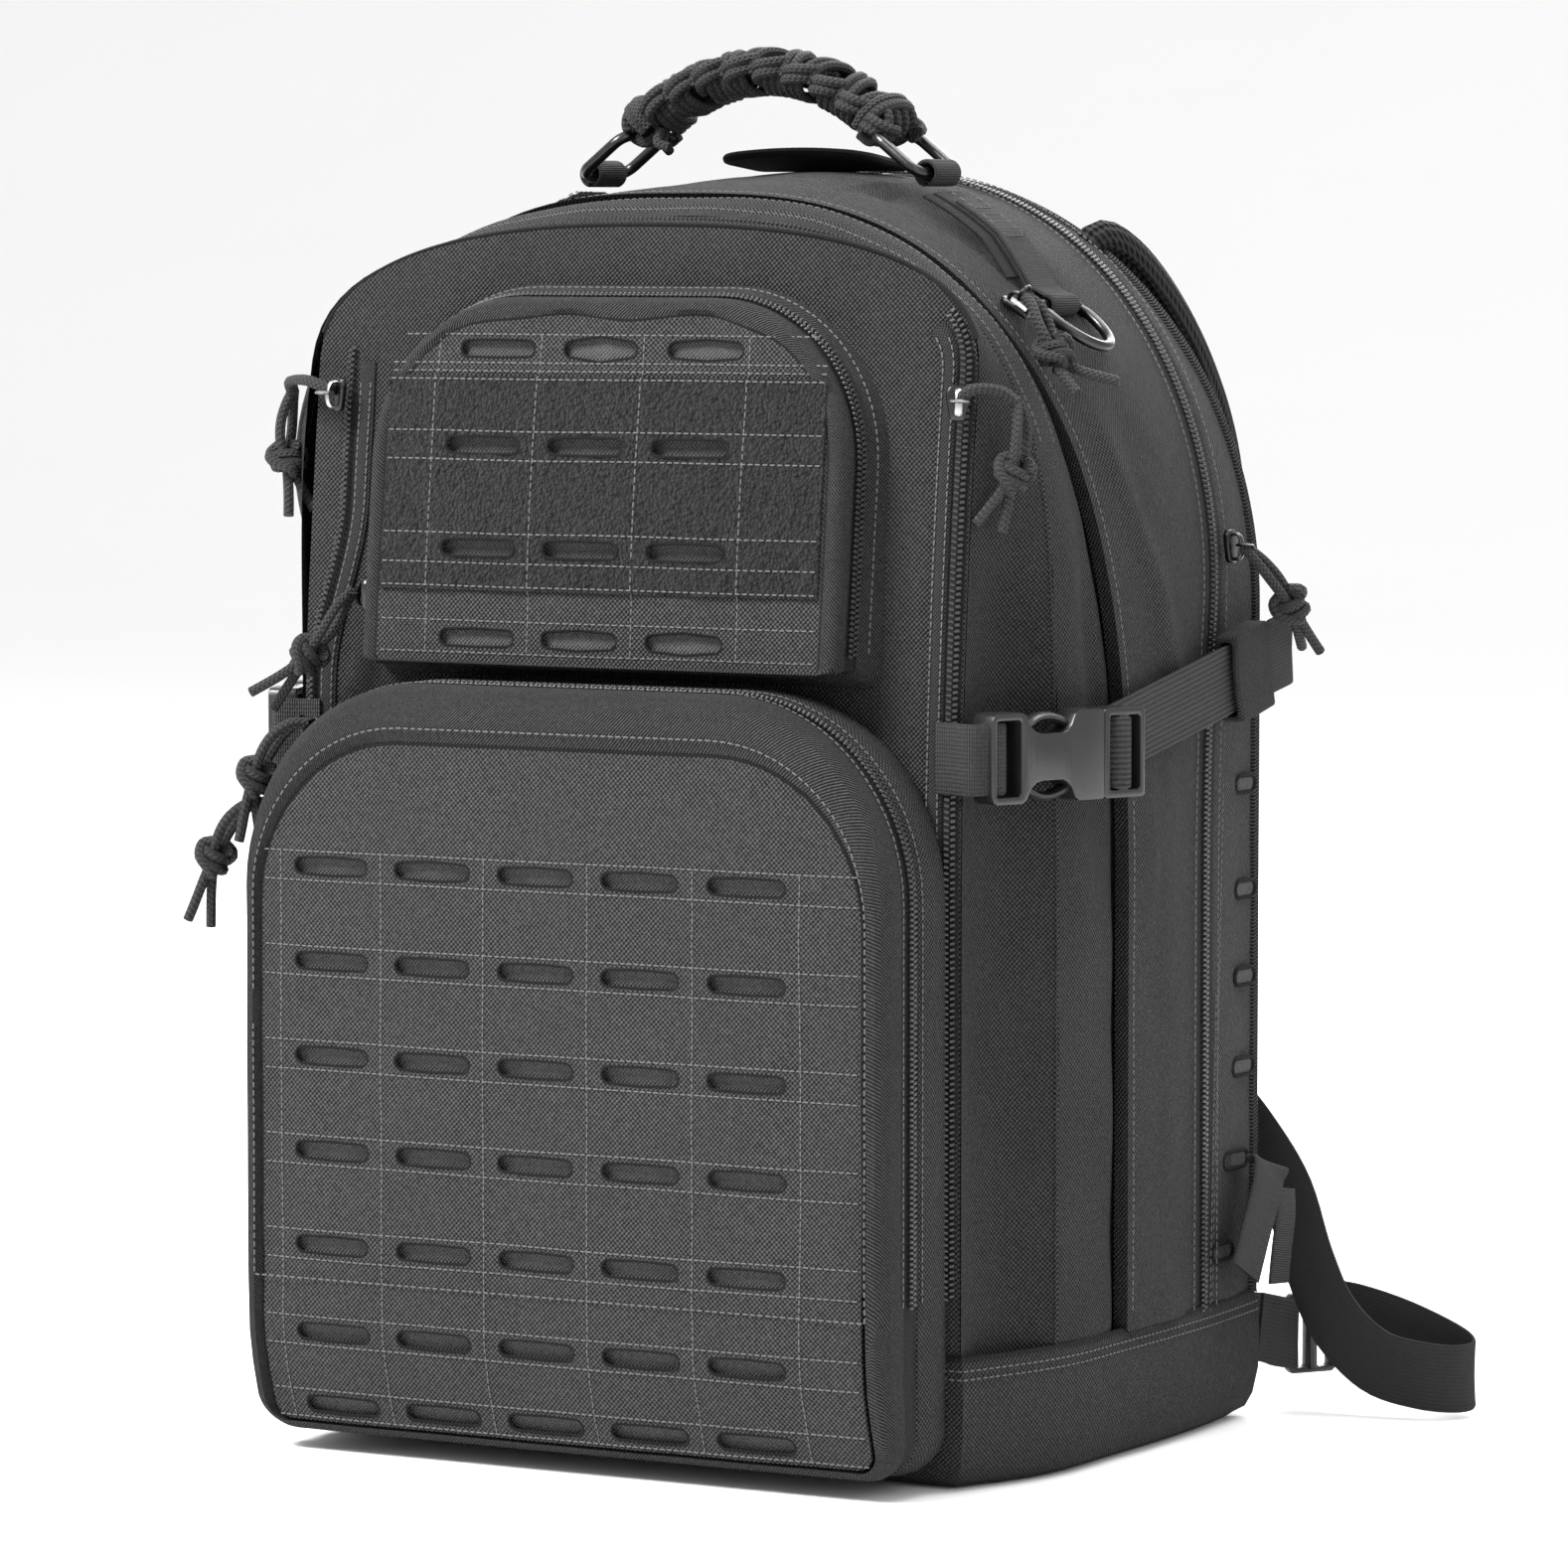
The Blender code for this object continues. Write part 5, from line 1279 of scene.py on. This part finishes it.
def shoulder_fittings(side, word):
    """Webbing from the handle over the shoulder, folded round the D-ring at its end."""
    top = []
    for i in range(12):
        x = 0.0745 + 0.0375 * i / 11
        rise = 0.0118 - 0.0062 * max(0.0, (i - 7) / 4)
        top.append(V((side * x, HANDLE_Y, top_height(x, HANDLE_Y) + rise)))
    way = (top[-1] - top[-2]).normalized()
    out = V((-way.z * side, 0, way.x * side))
    bar = V((side * 0.11875, HANDLE_Y, 0.4098))
    turns = [math.radians(-90 + 30 * k) for k in range(9)]
    curl = [bar + (way * math.cos(t) + out * math.sin(t)) * 0.0034 for t in turns]
    ribbon("shoulder_webbing_strip_" + word, top + curl, 0.02, 0.0017, "webbing", "pack", Y_AXIS,
           stands="shoulder_webbing_" + word)
    fold = [p + out * 0.0017 for p in top[2:]] + [bar + out * 0.0034]
    ribbon("shoulder_webbing_fold_" + word, fold, 0.0196, 0.0014, "webbing", "pack", Y_AXIS)
    # Dark seam tubes along both edges of the webbing: painted shade where its edges meet the cloth.
    edges = Bundle()
    for shift in (-0.0101, 0.0101):
        edges.take(sweep_data([p + V((0, shift, 0)) - out * 0.0006 for p in top[:-1]], circle(0.0007, 6)))
    edges.piece("shoulder_edge_shade_lines_" + word, "seam", "pack")
    # A strip of darker webbing just outside the webbing's front edge: painted shade under that edge.
    under = [p + V((0, -0.0125, 0)) - out * 0.0016 for p in top[:-1]]
    ribbon("shoulder_edge_shade_strip_" + word, under, 0.0085, 0.0016, "webbing_dark", "pack", Y_AXIS)
    stitches, front, rear = Stitches(), -0.0095, 0.0035
    sewn = lambda x, y: V((side * x, y, top_height(x, HANDLE_Y) + 0.0146))
    for x0 in (0.0785, 0.0915):
        for y in (front, rear):
            stitches.run([sewn(x, y) for x in np.linspace(x0, x0 + 0.01, 5)], UP)
        for x in (x0, x0 + 0.01):
            stitches.run([sewn(x, front), sewn(x, rear)], UP)
    stitches.piece("shoulder_webbing_stitches_" + word, "pack")
    d_ring(word, bar, way, out)


def d_ring(word, bar, way, out):
    """The wire ring in the webbing's end: a bow that tilts outwards, and a straight bar."""
    ring, wide, half = [], Y_AXIS, 0.0145
    for k in range(25):
        turn = math.radians(90 - 7.5 * k)
        along = 0.006 + 0.0165 * math.cos(turn)
        ring.append(bar + way * along + out * (0.35 * max(0.0, along)) + wide * half * math.sin(turn))
    ring += [bar - wide * half + way * 0.002, bar - wide * 0.013, bar, bar + wide * 0.013,
             bar + wide * half + way * 0.002]
    sweep("d_ring_wire_" + word, ring, circle(0.002, 10), "wire", "d_ring_" + word, out, closed=True,
          stands="d_ring_" + word)


def grip_place(turn, radial=0.0, front=0.0):
    """A point on the grip: its turn from the crown, how far out from the centreline, and to the front."""
    reach = GRIP_RADIUS + radial
    return V((reach * math.sin(turn), HANDLE_Y - front, HANDLE_CROWN - GRIP_RADIUS + reach * math.cos(turn)))


HANDLE_CROWN, GRIP_END = 0.493, (0.05, 0.4725)
GRIP_RISE = HANDLE_CROWN - GRIP_END[1]
GRIP_RADIUS = (GRIP_END[0] ** 2 + GRIP_RISE**2) / (2 * GRIP_RISE)
GRIP_REACH = math.asin(GRIP_END[0] / GRIP_RADIUS)


def strand(bundle, places, radius):
    """One cord strand through (turn, radial, front) places on the grip."""
    path = smooth_path([grip_place(*place) for place in places], 4)
    bundle.take(sweep_data(path, circle(radius, 8)))


def handle():
    """A cobra-woven cord grip: doubled crossings over and under a dark core, with ears along both edges."""
    weave, core, knots = Bundle(), Bundle(), 9
    step = 2 * GRIP_REACH / knots
    core.take(sweep_data([grip_place(GRIP_REACH * (i / 12 - 1)) for i in range(25)], circle(0.0078, 12, 0.52),
                         Y_AXIS))
    core.piece("handle_core", "seam", "handle")
    over = ((-1.0, -0.0006), (-0.92, 0.0036), (-0.55, 0.0066), (0, 0.0074), (0.55, 0.0066), (0.92, 0.0036),
            (1.0, -0.0006))
    below = ((-1.0, -0.0008), (-0.9, 0.0038), (-0.5, 0.0066), (0, 0.007), (0.5, 0.0066), (0.9, 0.0038),
             (1.0, -0.0008))
    for k in range(knots):
        middle = -GRIP_REACH + step * (k + 0.5)
        slant = 0.0022 / GRIP_RADIUS * (1 if k % 2 else -1)
        for j in (-0.5, 0.5):
            shift = 0.0037 * j / GRIP_RADIUS
            strand(weave, [(middle + shift + slant * f, r, 0.0116 * f) for f, r in over], 0.0019)
        for j in (-1, 0, 1) if k < knots - 1 else ():
            shift = 0.0031 * j / GRIP_RADIUS
            strand(weave, [(middle + step * 0.5 + shift - slant * f, -r, 0.0108 * f) for f, r in below],
                   0.0016)
        for edge in (1, -1):
            for r in (0.003, -0.0006):
                start, end = middle + step * 0.06, middle + step * 0.96
                ear = ((start, r - 0.0026, 0.0076), (start + step * 0.06, r - 0.0012, 0.0112),
                       (start + step * 0.3, r, 0.0142), (end - step * 0.3, r + 0.001, 0.0144),
                       (end - step * 0.04, r + 0.002, 0.0112), (end + step * 0.02, r + 0.002, 0.0076))
                strand(weave, [(turn, radial, front * edge) for turn, radial, front in ear], 0.0019)
    for side in (1, -1):
        for j in range(4):
            front = -0.0084 + 0.0056 * j
            loop = ((-0.1, 0.006, 1), (-0.02, 0.007, 1.05), (0.035, 0.004, 1.08), (0.045, -0.0008, 1.05),
                    (0.015, -0.0056, 1), (-0.06, -0.0068, 0.95))
            strand(weave, [(side * (GRIP_REACH + t), r, front * grow) for t, r, grow in loop], 0.0019)
        for shift, flip in ((0.04, 1), (0.078, -1)):
            band = ((-0.004, -0.012), (0.002, -0.0134), (0.0074, -0.0096), (0.0094, 0.0), (0.0074, 0.0096),
                    (0.002, 0.0134), (-0.004, 0.012))
            strand(weave, [(side * (GRIP_REACH - shift), r, f * flip) for r, f in band], 0.002)
    for j in (0, 1):
        stub = ((0.1, -0.006, 0.004 + 0.004 * j), (0.06, -0.01, 0.007 + 0.004 * j),
                (0.075 + 0.04 * j, -0.0152, 0.009 + 0.003 * j))
        strand(weave, [(t - GRIP_REACH, r, f) for t, r, f in stub], 0.0018)
    weave.piece("handle_braid", "paracord", "handle", stands="handle_grip")
    for side, word in SIDES:
        handle_ring(side, word)
        handle_loop(side, word)


def handle_ring(side, word):
    clear, turn = 0.00305, GRIP_REACH
    high = V((GRIP_END[0] + clear * math.cos(turn), HANDLE_Y, GRIP_END[1] - clear * math.sin(turn)))
    low = V((0.07, HANDLE_Y, 0.4565))
    middle, way = (low + high) / 2, (high - low).normalized()
    half = (high - low).length / 2
    bars = rounded_rect(-half, half, -0.0155, 0.0155, 0.005, 0.005, steps=6, cuts=2)
    path = [mirrored(middle + way * u + V((0, v, 0)), side) for u, v in bars]
    out = mirrored(Y_AXIS.cross(way), side)
    sweep("handle_ring_wire_" + word, path, circle(0.0021, 12), "wire", "handle", out, closed=True,
          stands="handle_ring_" + word)


def handle_loop(side, word):
    centre = V((side * 0.07, HANDLE_Y, 0.4565))
    turns = [math.radians(-75 + 330 * k / 20) for k in range(21)]
    path = [centre + V((math.cos(t), 0, math.sin(t))) * 0.0042 for t in turns]
    ribbon("handle_loop_webbing_" + word, path, 0.0185, 0.0016, "webbing", "handle", Y_AXIS,
           stands="handle_loop_" + word)


def port_flap():
    """The stiff little flap behind the handle, bound round its edge."""
    hinge, body = V((0.0, 0.05, 0.4579)), "port_flap"
    outline = rounded_rect(-0.034, 0.028, 0.0, 0.031, 0.003, 0.008, steps=5, cuts=10)
    tilt = Matrix.Rotation(math.radians(-6), 3, "X")
    arched = lambda u, v: 0.0022 * (1 - (u / 0.034) ** 2) * (v / 0.031)
    place = lambda u, v, depth: hinge + tilt @ V((u, -v, depth + arched(u, v)))
    cloth("port_flap_cloth", outline, [], 0.004, place, 0.0024, "binding", body, stands="cable_port_flap")
    cloth("port_flap_lining", outline, [], 0.006, lambda u, v, d: place(u, v, -0.0002), 0.0, "lining", body)
    edge = [place(u, v, 0.0012) for u, v in outline]
    sweep("port_flap_piping", edge, circle(0.0017, 8), "seam", body, closed=True)
    stitches = Stitches()
    inner = rounded_rect(-0.0305, 0.0245, 0.0035, 0.0275, 0.002, 0.006, steps=5, cuts=10)
    stitches.run([place(u, v, 0.0026) for u, v in inner + inner[:1]], UP)
    stitches.piece("port_flap_stitches", body)


# ---------------------------------------------------------------- zip sliders and cord pulls
def slider_body(name, centre, along, out, body, node=None, finish="wire"):
    """A slider: nose-shaped plate, bridge over it, and a small ring for the cord."""
    across = along.cross(out).normalized()
    place = lambda u, v, depth: centre + along * u + across * v + out * depth
    outline = [(-0.006, 0.0022), (-0.0044, 0.0028), (0.0012, 0.004), (0.0036, 0.0042), (0.0056, 0.0032),
               (0.0062, 0.0014)]
    solid_plate(name, symmetric(outline), [], 0.0002, 0.0026, place, "wire", body, 0.0007, stands=node)
    parts = Bundle()
    route = ((-0.0046, 0.0022), (-0.004, 0.0052), (0.0, 0.0062), (0.004, 0.005), (0.0046, 0.0022))
    bridge = smooth_path([place(u, 0, w) for u, w in route], 4)
    parts.take(sweep_data(bridge, [(u * 1.9, v) for u, v in circle(0.0007, 8)], across))
    turns = [2 * math.pi * k / 16 for k in range(16)]
    ring = [place(0.0004, 0.003 * math.sin(t), 0.0072 - 0.003 * math.cos(t)) for t in turns]
    parts.take(sweep_data(ring, circle(0.0006, 6), along, closed=True))
    parts.piece(name + "_bridge", finish, body)


def cord_pull(name, start, points, body, tails, node=None):
    """A doubled cord looped through the slider's ring, knotted, with two loose tails."""
    spread, knot_at, last = V((0, 0.0024, 0)), 0.56, 31
    pairs = resample(smooth_path([start] + [start + V(p) for p in points], 8), last + 1)
    knot, way = pairs[int(last * knot_at)]
    side = way.cross(spread).normalized()
    front = side.cross(way).normalized()
    wraps, helix = Bundle(), []
    for k in range(30):
        t = k / 29
        turn = 2 * math.pi * 2.35 * t
        r = 0.0043 + 0.0006 * math.sin(turn * 0.7)
        spoke = side * math.cos(turn) + front * math.sin(turn)
        helix.append(knot + way * (0.0086 * (t - 0.5)) + spoke * r)
    wraps.take(sweep_data(helix, circle(0.0021, 8)))
    for flip in (1, -1):
        cross = [knot + way * a + side * (b * flip) + front * (c * flip) for a, b, c in (
            (-0.006, 0.0012, 0.0016), (-0.0036, 0.0044, 0.0036), (0.0004, 0.0022, 0.0062),
            (0.0044, -0.0032, 0.004),
            (0.006, -0.0014, 0.0006))]
        wraps.take(sweep_data(smooth_path(cross, 4), circle(0.002, 8)))
    wrap = wraps.piece(name + "_knot", "paracord", body, stands=node)
    for j, sign in enumerate((1, -1)):
        line = []
        for i, (point, _) in enumerate(pairs):
            t = i / last
            if t < knot_at:
                gap = spread * (sign * (0.35 + 1.25 * math.sin(math.pi * min(1, t / knot_at))))
            else:
                past = (t - knot_at) / (1 - knot_at)
                gap = spread * (sign * 0.45) + (side * tails[j][0] + front * tails[j][1]) * past**1.3
            line.append(point + gap)
        line = smooth_path(line[::2] + [line[-1]], 2)
        tube = sweep(f"{name}_strand_{j + 1}", line, circle(0.0019, 8), "paracord", body)


def front_pulls():
    """The two front sliders, the loops sewn to them, and their pulls."""
    along = V((0, 0.0593, 0.99824))
    hang = ((0.0014, 0.0, -0.004), (0.0022, -0.001, -0.012), (0.0006, -0.003, -0.023),
            (-0.0076, -0.005, -0.043))
    for side, word in SIDES:
        inner, slider = 0.1318 - ZIP_DRAWN_IN[side], "front_slider_" + word
        slider_body(slider, V((side * inner, -0.101, 0.377)), along,
                    V((side * 0.55, -0.83, 0.05)).normalized(), slider,
                    "slider_front_" + word, "steel")
        cord_pull("front_pull_" + word, V((side * 0.1493, -0.09, 0.377)), [mirrored(p, side) for p in hang],
                  "front_pull_" + word, ((0.0035, 0.001), (-0.0045, -0.002)), "pull_cord_front_" + word)
        loops = Bundle()
        for sign in (1, -1):
            route = [(x, y + sign * 0.001, z) for x, y, z in (
                (inner + 0.0027, -0.104, 0.3785), (inner / 2 + 0.0736, -0.1035, 0.382),
                (0.1455, -0.0965, 0.3815),
                (0.149, -0.0905, 0.3775))]
            loops.take(sweep_data(run_through(side, route, 6), circle(0.0019, 8)))
        loops.piece("front_slider_loop_" + word, "paracord", slider)


def pulls():
    front_pulls()
    slant, flare = V((-0.82, 0, 0.57)).normalized(), V((0.57, 0, 0.82)).normalized()
    for name, place, along, out, ring, hang, tails in (
        ("rear", (0.1515, 0.06645, 0.322), V((-0.0797, 0.1194, 0.9896)), X_AXIS, (0.158, 0.06645, 0.322),
         ((0.004, 0.003, -0.004), (0.009, 0.008, -0.012), (0.012, 0.015, -0.022), (0.014, 0.028, -0.041)),
         ((0.002, 0.003), (-0.006, 0.008))),
        ("main", (0.1205, -0.0385, 0.408), slant, flare, (0.1245, -0.0385, 0.413),
         ((0.005, -0.001, -0.003), (0.011, -0.004, -0.012), (0.018, -0.006, -0.024), (0.031, -0.007, -0.032)),
         ((0.007, 0.006), (-0.004, -0.004))),
    ):
        slider_body(name + "_slider", V(place), along, out, name + "_slider", "slider_" + name)
        cord_pull(name + "_pull", V(ring), hang, name + "_pull", tails, "pull_cord_" + name)
    corner = V((-0.061, -0.132, 0.206))
    for name, turn, moves, bottom in (("lower", 135, True, 0.0), ("lower_twin", 161, False, 0.004)):
        out = V((math.cos(math.radians(turn)), 0, math.sin(math.radians(turn))))
        place = corner + out * 0.0706
        slider_body(name + "_slider", place, V((-out.z, 0, out.x)), out, "lower_slider" if moves else "pack",
                    "slider_lower" if moves else None)
        hang = ((-0.005, -0.003, 0.0), (-0.013, -0.005, -0.008), (-0.02, -0.006, -0.024),
                (-0.021 - bottom, -0.006, -0.044))
        cord_pull(name + "_pull", place + out * 0.0062, hang, "lower_pull" if moves else "pack",
                  ((0.003, 0.002), (-0.004, -0.001)), "pull_cord_lower" if moves else None)
    slider_body("upper_slider", V((-0.099, -0.1148, 0.306)), V((0, 0.099, 0.995)), V((-1, 0, 0)),
                "upper_slider", "slider_upper")
    hang = ((-0.003, -0.003, -0.005), (-0.008, -0.007, -0.016), (-0.017, -0.012, -0.028),
            (-0.03, -0.014, -0.04))
    cord_pull("upper_pull", V((-0.1078, -0.1136, 0.3075)), hang, "upper_pull",
              ((0.003, 0.004), (-0.004, -0.003)), "pull_cord_upper")


# ---------------------------------------------------------------- harness
def inflated(thing, travel):
    """Cloth simulation under pressure, with each point's travel capped, applied to the mesh."""
    mesh, scene, frame_count = thing.data, bpy.context.scene, 20
    start = [v.co.copy() for v in mesh.vertices]
    sim = thing.modifiers.new("puff", "CLOTH")
    for setting, value in (("use_pressure", True), ("uniform_pressure_force", 4.0), ("quality", 5),
                           ("mass", 0.25),
                           ("tension_stiffness", 14), ("compression_stiffness", 6),
                           ("bending_stiffness", 0.4)):
        setattr(sim.settings, setting, value)
    sim.settings.effector_weights.gravity = 0
    for frame_number in range(1, frame_count + 1):
        scene.frame_set(frame_number)
    evaluated = thing.evaluated_get(bpy.context.evaluated_depsgraph_get())
    ends = [v.co.copy() for v in evaluated.to_mesh().vertices]
    evaluated.to_mesh_clear()
    thing.modifiers.remove(sim)
    scene.frame_set(1)
    for vertex, a, b in zip(mesh.vertices, start, ends):
        move = b - a
        if move.length > travel:
            move = move.normalized() * travel
        vertex.co = a + move


def shoulder_strap(side, word):
    route = (
        (0.046, 0.084, 0.424), (0.056, 0.108, 0.4275), (0.07, 0.127, 0.401), (0.084, 0.139, 0.356),
        (0.087, 0.143, 0.305), (0.085, 0.14, 0.24), (0.086, 0.133, 0.17), (0.098, 0.128, 0.125),
    )
    path = [p for p, _ in resample(run_through(side, route, 8), 84)]
    across = [V((1, side * 0.25 * min(1, i / 20), 0)) for i in range(len(path))]
    half, thick = 0.0285, 0.0045
    top = [(half - (2 * half) * k / 10, thick) for k in range(1, 10)]
    edge = [(half, -thick * 0.4), (half, thick * 0.4), (half - 0.002, thick)]
    section = edge + top + [(-half + 0.002, thick)] + [(-u, -v) for u,
                                                       v in edge + top] + [(half - 0.002, -thick)]
    scales = [1.0 - 0.4 * max(0, i - 66) / 18 for i in range(len(path))]
    strap = sweep("shoulder_pad_" + word, path, section, "air_mesh", "pack", across, scales,
                  stands="shoulder_strap_" + word)
    inflated(strap, 0.003)
    pairs = frames(path, across)
    turns = [a for a, _ in pairs]
    for sign, edge_word in ((1, "outer"), (-1, "inner")):
        line = [p + a * (sign * half * s) for p, a, s in zip(path, turns, scales)]
        place = word + "_" + edge_word
        sweep("shoulder_rim_" + place, line[4:31], circle(0.0034, 10, 1.6), "air_mesh", "pack", turns[4:31])
        sweep("shoulder_binding_" + place, line[30:], circle(0.003, 8, 1.7), "binding", "pack", turns[30:])
    outer = [p + o * math.copysign(thick + 0.0026, o.y) for p, (_, o) in zip(path, pairs)]
    ribbon("shoulder_strap_webbing_" + word, outer[16:78], 0.0254, 0.0016, "webbing", "pack", across[16:78])
    stitches = Stitches()
    for k in range(18, 76, 12):
        a, o = pairs[k]
        o = o * (1 if o.y > 0 else -1)
        for shift in (-0.0009, 0.0009):
            at = outer[k] + (path[k + 1] - path[k]).normalized() * shift + o * 0.0011
            stitches.run([at - a * 0.0115, at + a * 0.0115], o)
    stitches.piece("shoulder_strap_tacks_" + word, "pack")


def flat_uv(thing):
    """Lays the weave flat across the back instead of round the piece."""
    mesh = thing.data
    for loop in mesh.loops:
        place = mesh.vertices[loop.vertex_index].co
        mesh.uv_layers.active.data[loop.index].uv = (place.x, place.z)


def back_pads():
    """Six mesh pads on the back panel with air channels between them."""
    profile = ((0.02, 0.101), (0.5, 0.101), (0.97, 0.101), (1.0, 0.1024), (1.0, 0.1052), (0.985, 0.1078),
               (0.95, 0.11),
               (0.88, 0.1116), (0.78, 0.1124), (0.66, 0.1128), *((0.54 - 0.12 * k, 0.113) for k in range(5)))
    for row, (low, high) in enumerate(((0.286, 0.394), (0.178, 0.278), (0.071, 0.17))):
        for side, word in SIDES:
            left, right = sorted((side * 0.006, side * 0.1165))
            x, z = (left + right) / 2, (low + high) / 2
            outline = rounded_rect(left, right, low, high, 0.012, 0.012, steps=4, cuts=14)
            rows = [[V((x + (u - x) * share, y, z + (v - z) * share)) for u, v in outline] for share,
                    y in profile]
            pad = grid(f"back_pad_{row + 1}_{word}", rows, "air_mesh", "pack", closed=True, caps=True,
                       stands="back_pad" if row == 0 and side == 1 else None)
            flat_uv(pad)
            inflated(pad, 0.0035)
            trim = rounded_rect(left - 0.001, right + 0.001, low - 0.001, high + 0.001, 0.013, 0.013, steps=4,
                                cuts=8)
            sweep(f"back_pad_piping_{row + 1}_{word}", [V((u, 0.1018, v)) for u, v in trim],
                  circle(0.0016, 8), "seam",
                  "pack", closed=True)


def ladder_lock(side, word):
    """The webbing tab at the bottom corner and the ladder lock on it."""
    tab = ((0.1437, 0.095, 0.033), (0.1439, 0.105, 0.0322), (0.1437, 0.116, 0.0302), (0.1428, 0.126, 0.0275),
           (0.1418, 0.1385, 0.025), (0.1432, 0.1412, 0.0246), (0.145, 0.1385, 0.025), (0.1452, 0.124, 0.0284),
           (0.1452, 0.108, 0.0318))
    ribbon("corner_tab_webbing_" + word, run_through(side, tab, 4), 0.0254, 0.0016, "webbing", "pack", UP)
    hinge, body = V((side * 0.1416, 0.1384, 0.025)), "lock_" + word
    way = V((side * 0.55, 0.835, 0)).normalized()
    out = V((side * 0.835, -0.55, 0)).normalized()
    place = lambda u, v, depth: hinge + way * u + V((0, 0, v)) + out * (depth - 0.002)
    outline = [(0.0, 0.0135), (0.0015, 0.015), (0.0185, 0.015), (0.022, 0.012)]
    windows = [window(0.003, 0.0075, 0.0128), window(0.012, 0.0172, 0.0128)]
    solid_plate("ladder_lock_frame_" + word, symmetric(outline), windows, 0.0, 0.0042, place, "acetal", body,
                0.0008,
                stands="ladder_lock_" + word)
    bars = Bundle()
    for u in (0.0098, 0.0195):
        bars.take(sweep_data([place(u, v, 0.0046) for v in (-0.013, 0.013)], circle(0.0017, 8)))
    bars.piece("ladder_lock_bars_" + word, "acetal", body)


def strap_tail(side, word):
    """The compression strap's free end that hangs down the flank, and its fold."""
    tail = ((0.1592, 0.085, 0.096), (0.161, 0.0838, 0.0945), (0.1618, 0.08, 0.087), (0.1614, 0.073, 0.0735),
            (0.1608, 0.0655, 0.058))
    ribbon("strap_tail_webbing_" + word, run_through(side, tail, 5), 0.0225, 0.0018, "webbing", "pack",
           V((0, 0.985, -0.17)))
    fold = ((0.159, 0.101, 0.085), (0.16, 0.0995, 0.076), (0.1598, 0.0965, 0.062), (0.1592, 0.0955, 0.0505))
    ribbon("strap_tail_fold_" + word, run_through(side, fold, 5), 0.015, 0.0018, "webbing", "pack",
           V((0, 0.96, -0.25)))


def adjuster(side, word):
    """The strap's lower buckle, and the adjuster webbing from it to the ladder lock in a free loop."""
    centre = V((side * 0.1085, 0.13, 0.1225))
    way, wide = V((side * 0.66, 0, -0.75)), V((side * 0.75, 0, 0.66))
    place = lambda u, v, depth: centre + way * u + wide * v + Y_AXIS * depth
    outline = [(-0.013, 0.0125), (-0.0115, 0.015), (0.01, 0.015), (0.0125, 0.012)]
    windows = [window(-0.0095, -0.003, 0.0128), window(0.003, 0.0085, 0.0128)]
    solid_plate("strap_lock_frame_" + word, symmetric(outline), windows, -0.0018, 0.0024, place, "acetal",
                "pack", 0.0008)
    stub = [mirrored(p, side) for p in ((0.0975, 0.129, 0.14), (0.1, 0.1335, 0.131))]
    stub += [centre + way * u + Y_AXIS * d for u, d in ((-0.011, 0.0032), (-0.006, 0.001), (-0.002, -0.0026))]
    ribbon("strap_lock_webbing_" + word, smooth_path(stub, 5), 0.024, 0.0016, "webbing", "pack", wide)
    route = (
        (0.1165, 0.129, 0.118), (0.133, 0.129, 0.099), (0.1475, 0.1268, 0.0795), (0.158, 0.124, 0.054),
        (0.169, 0.122, 0.0345), (0.186, 0.121, 0.0205), (0.204, 0.123, 0.016), (0.217, 0.129, 0.015),
        (0.2185, 0.137, 0.0165), (0.208, 0.1445, 0.02), (0.185, 0.149, 0.027), (0.164, 0.1485, 0.032),
        (0.15, 0.147, 0.033),
    )
    share, places = (1.0, 13) if side > 0 else (0.55, 11)
    route = [(x if x < 0.147 else 0.147 + (x - 0.147) * share, y, z) for x, y, z in route[:places]]
    path = run_through(side, route, 6)
    across = []
    for i in range(len(path)):
        t = min(1.0, i / (len(path) * 0.5))
        across.append(V((side * 0.78 * (1 - t), -0.2 * (1 - t), 0.35 + 0.65 * t)))
    strap = ribbon("adjuster_strap_" + word, path, 0.025, 0.0015, "webbing", "pack", across,
                   stands="adjuster_webbing_" + word)


handle()
port_flap()
for side, word in SIDES:
    compression_strap(side, word)
    shoulder_fittings(side, word)
    shoulder_strap(side, word)
    ladder_lock(side, word)
    strap_tail(side, word)
    adjuster(side, word)
pulls()
back_pads()


# ---------------------------------------------------------------- the CAD nodes that stay in view
CAD_SLOTS = {part["node"]: part["material_slot"] for part in frame["record"]["subparts"]}
for name, node in frame["nodes"].items():
    if not node.hide_render:
        finish = {"slider_steel": "steel", "black_wire": "wire", "zip_coil": "coil"}.get(CAD_SLOTS[name],
                                                                                         CAD_SLOTS[name])
        node.data.materials.clear()
        node.data.materials.append(FINISH[finish])
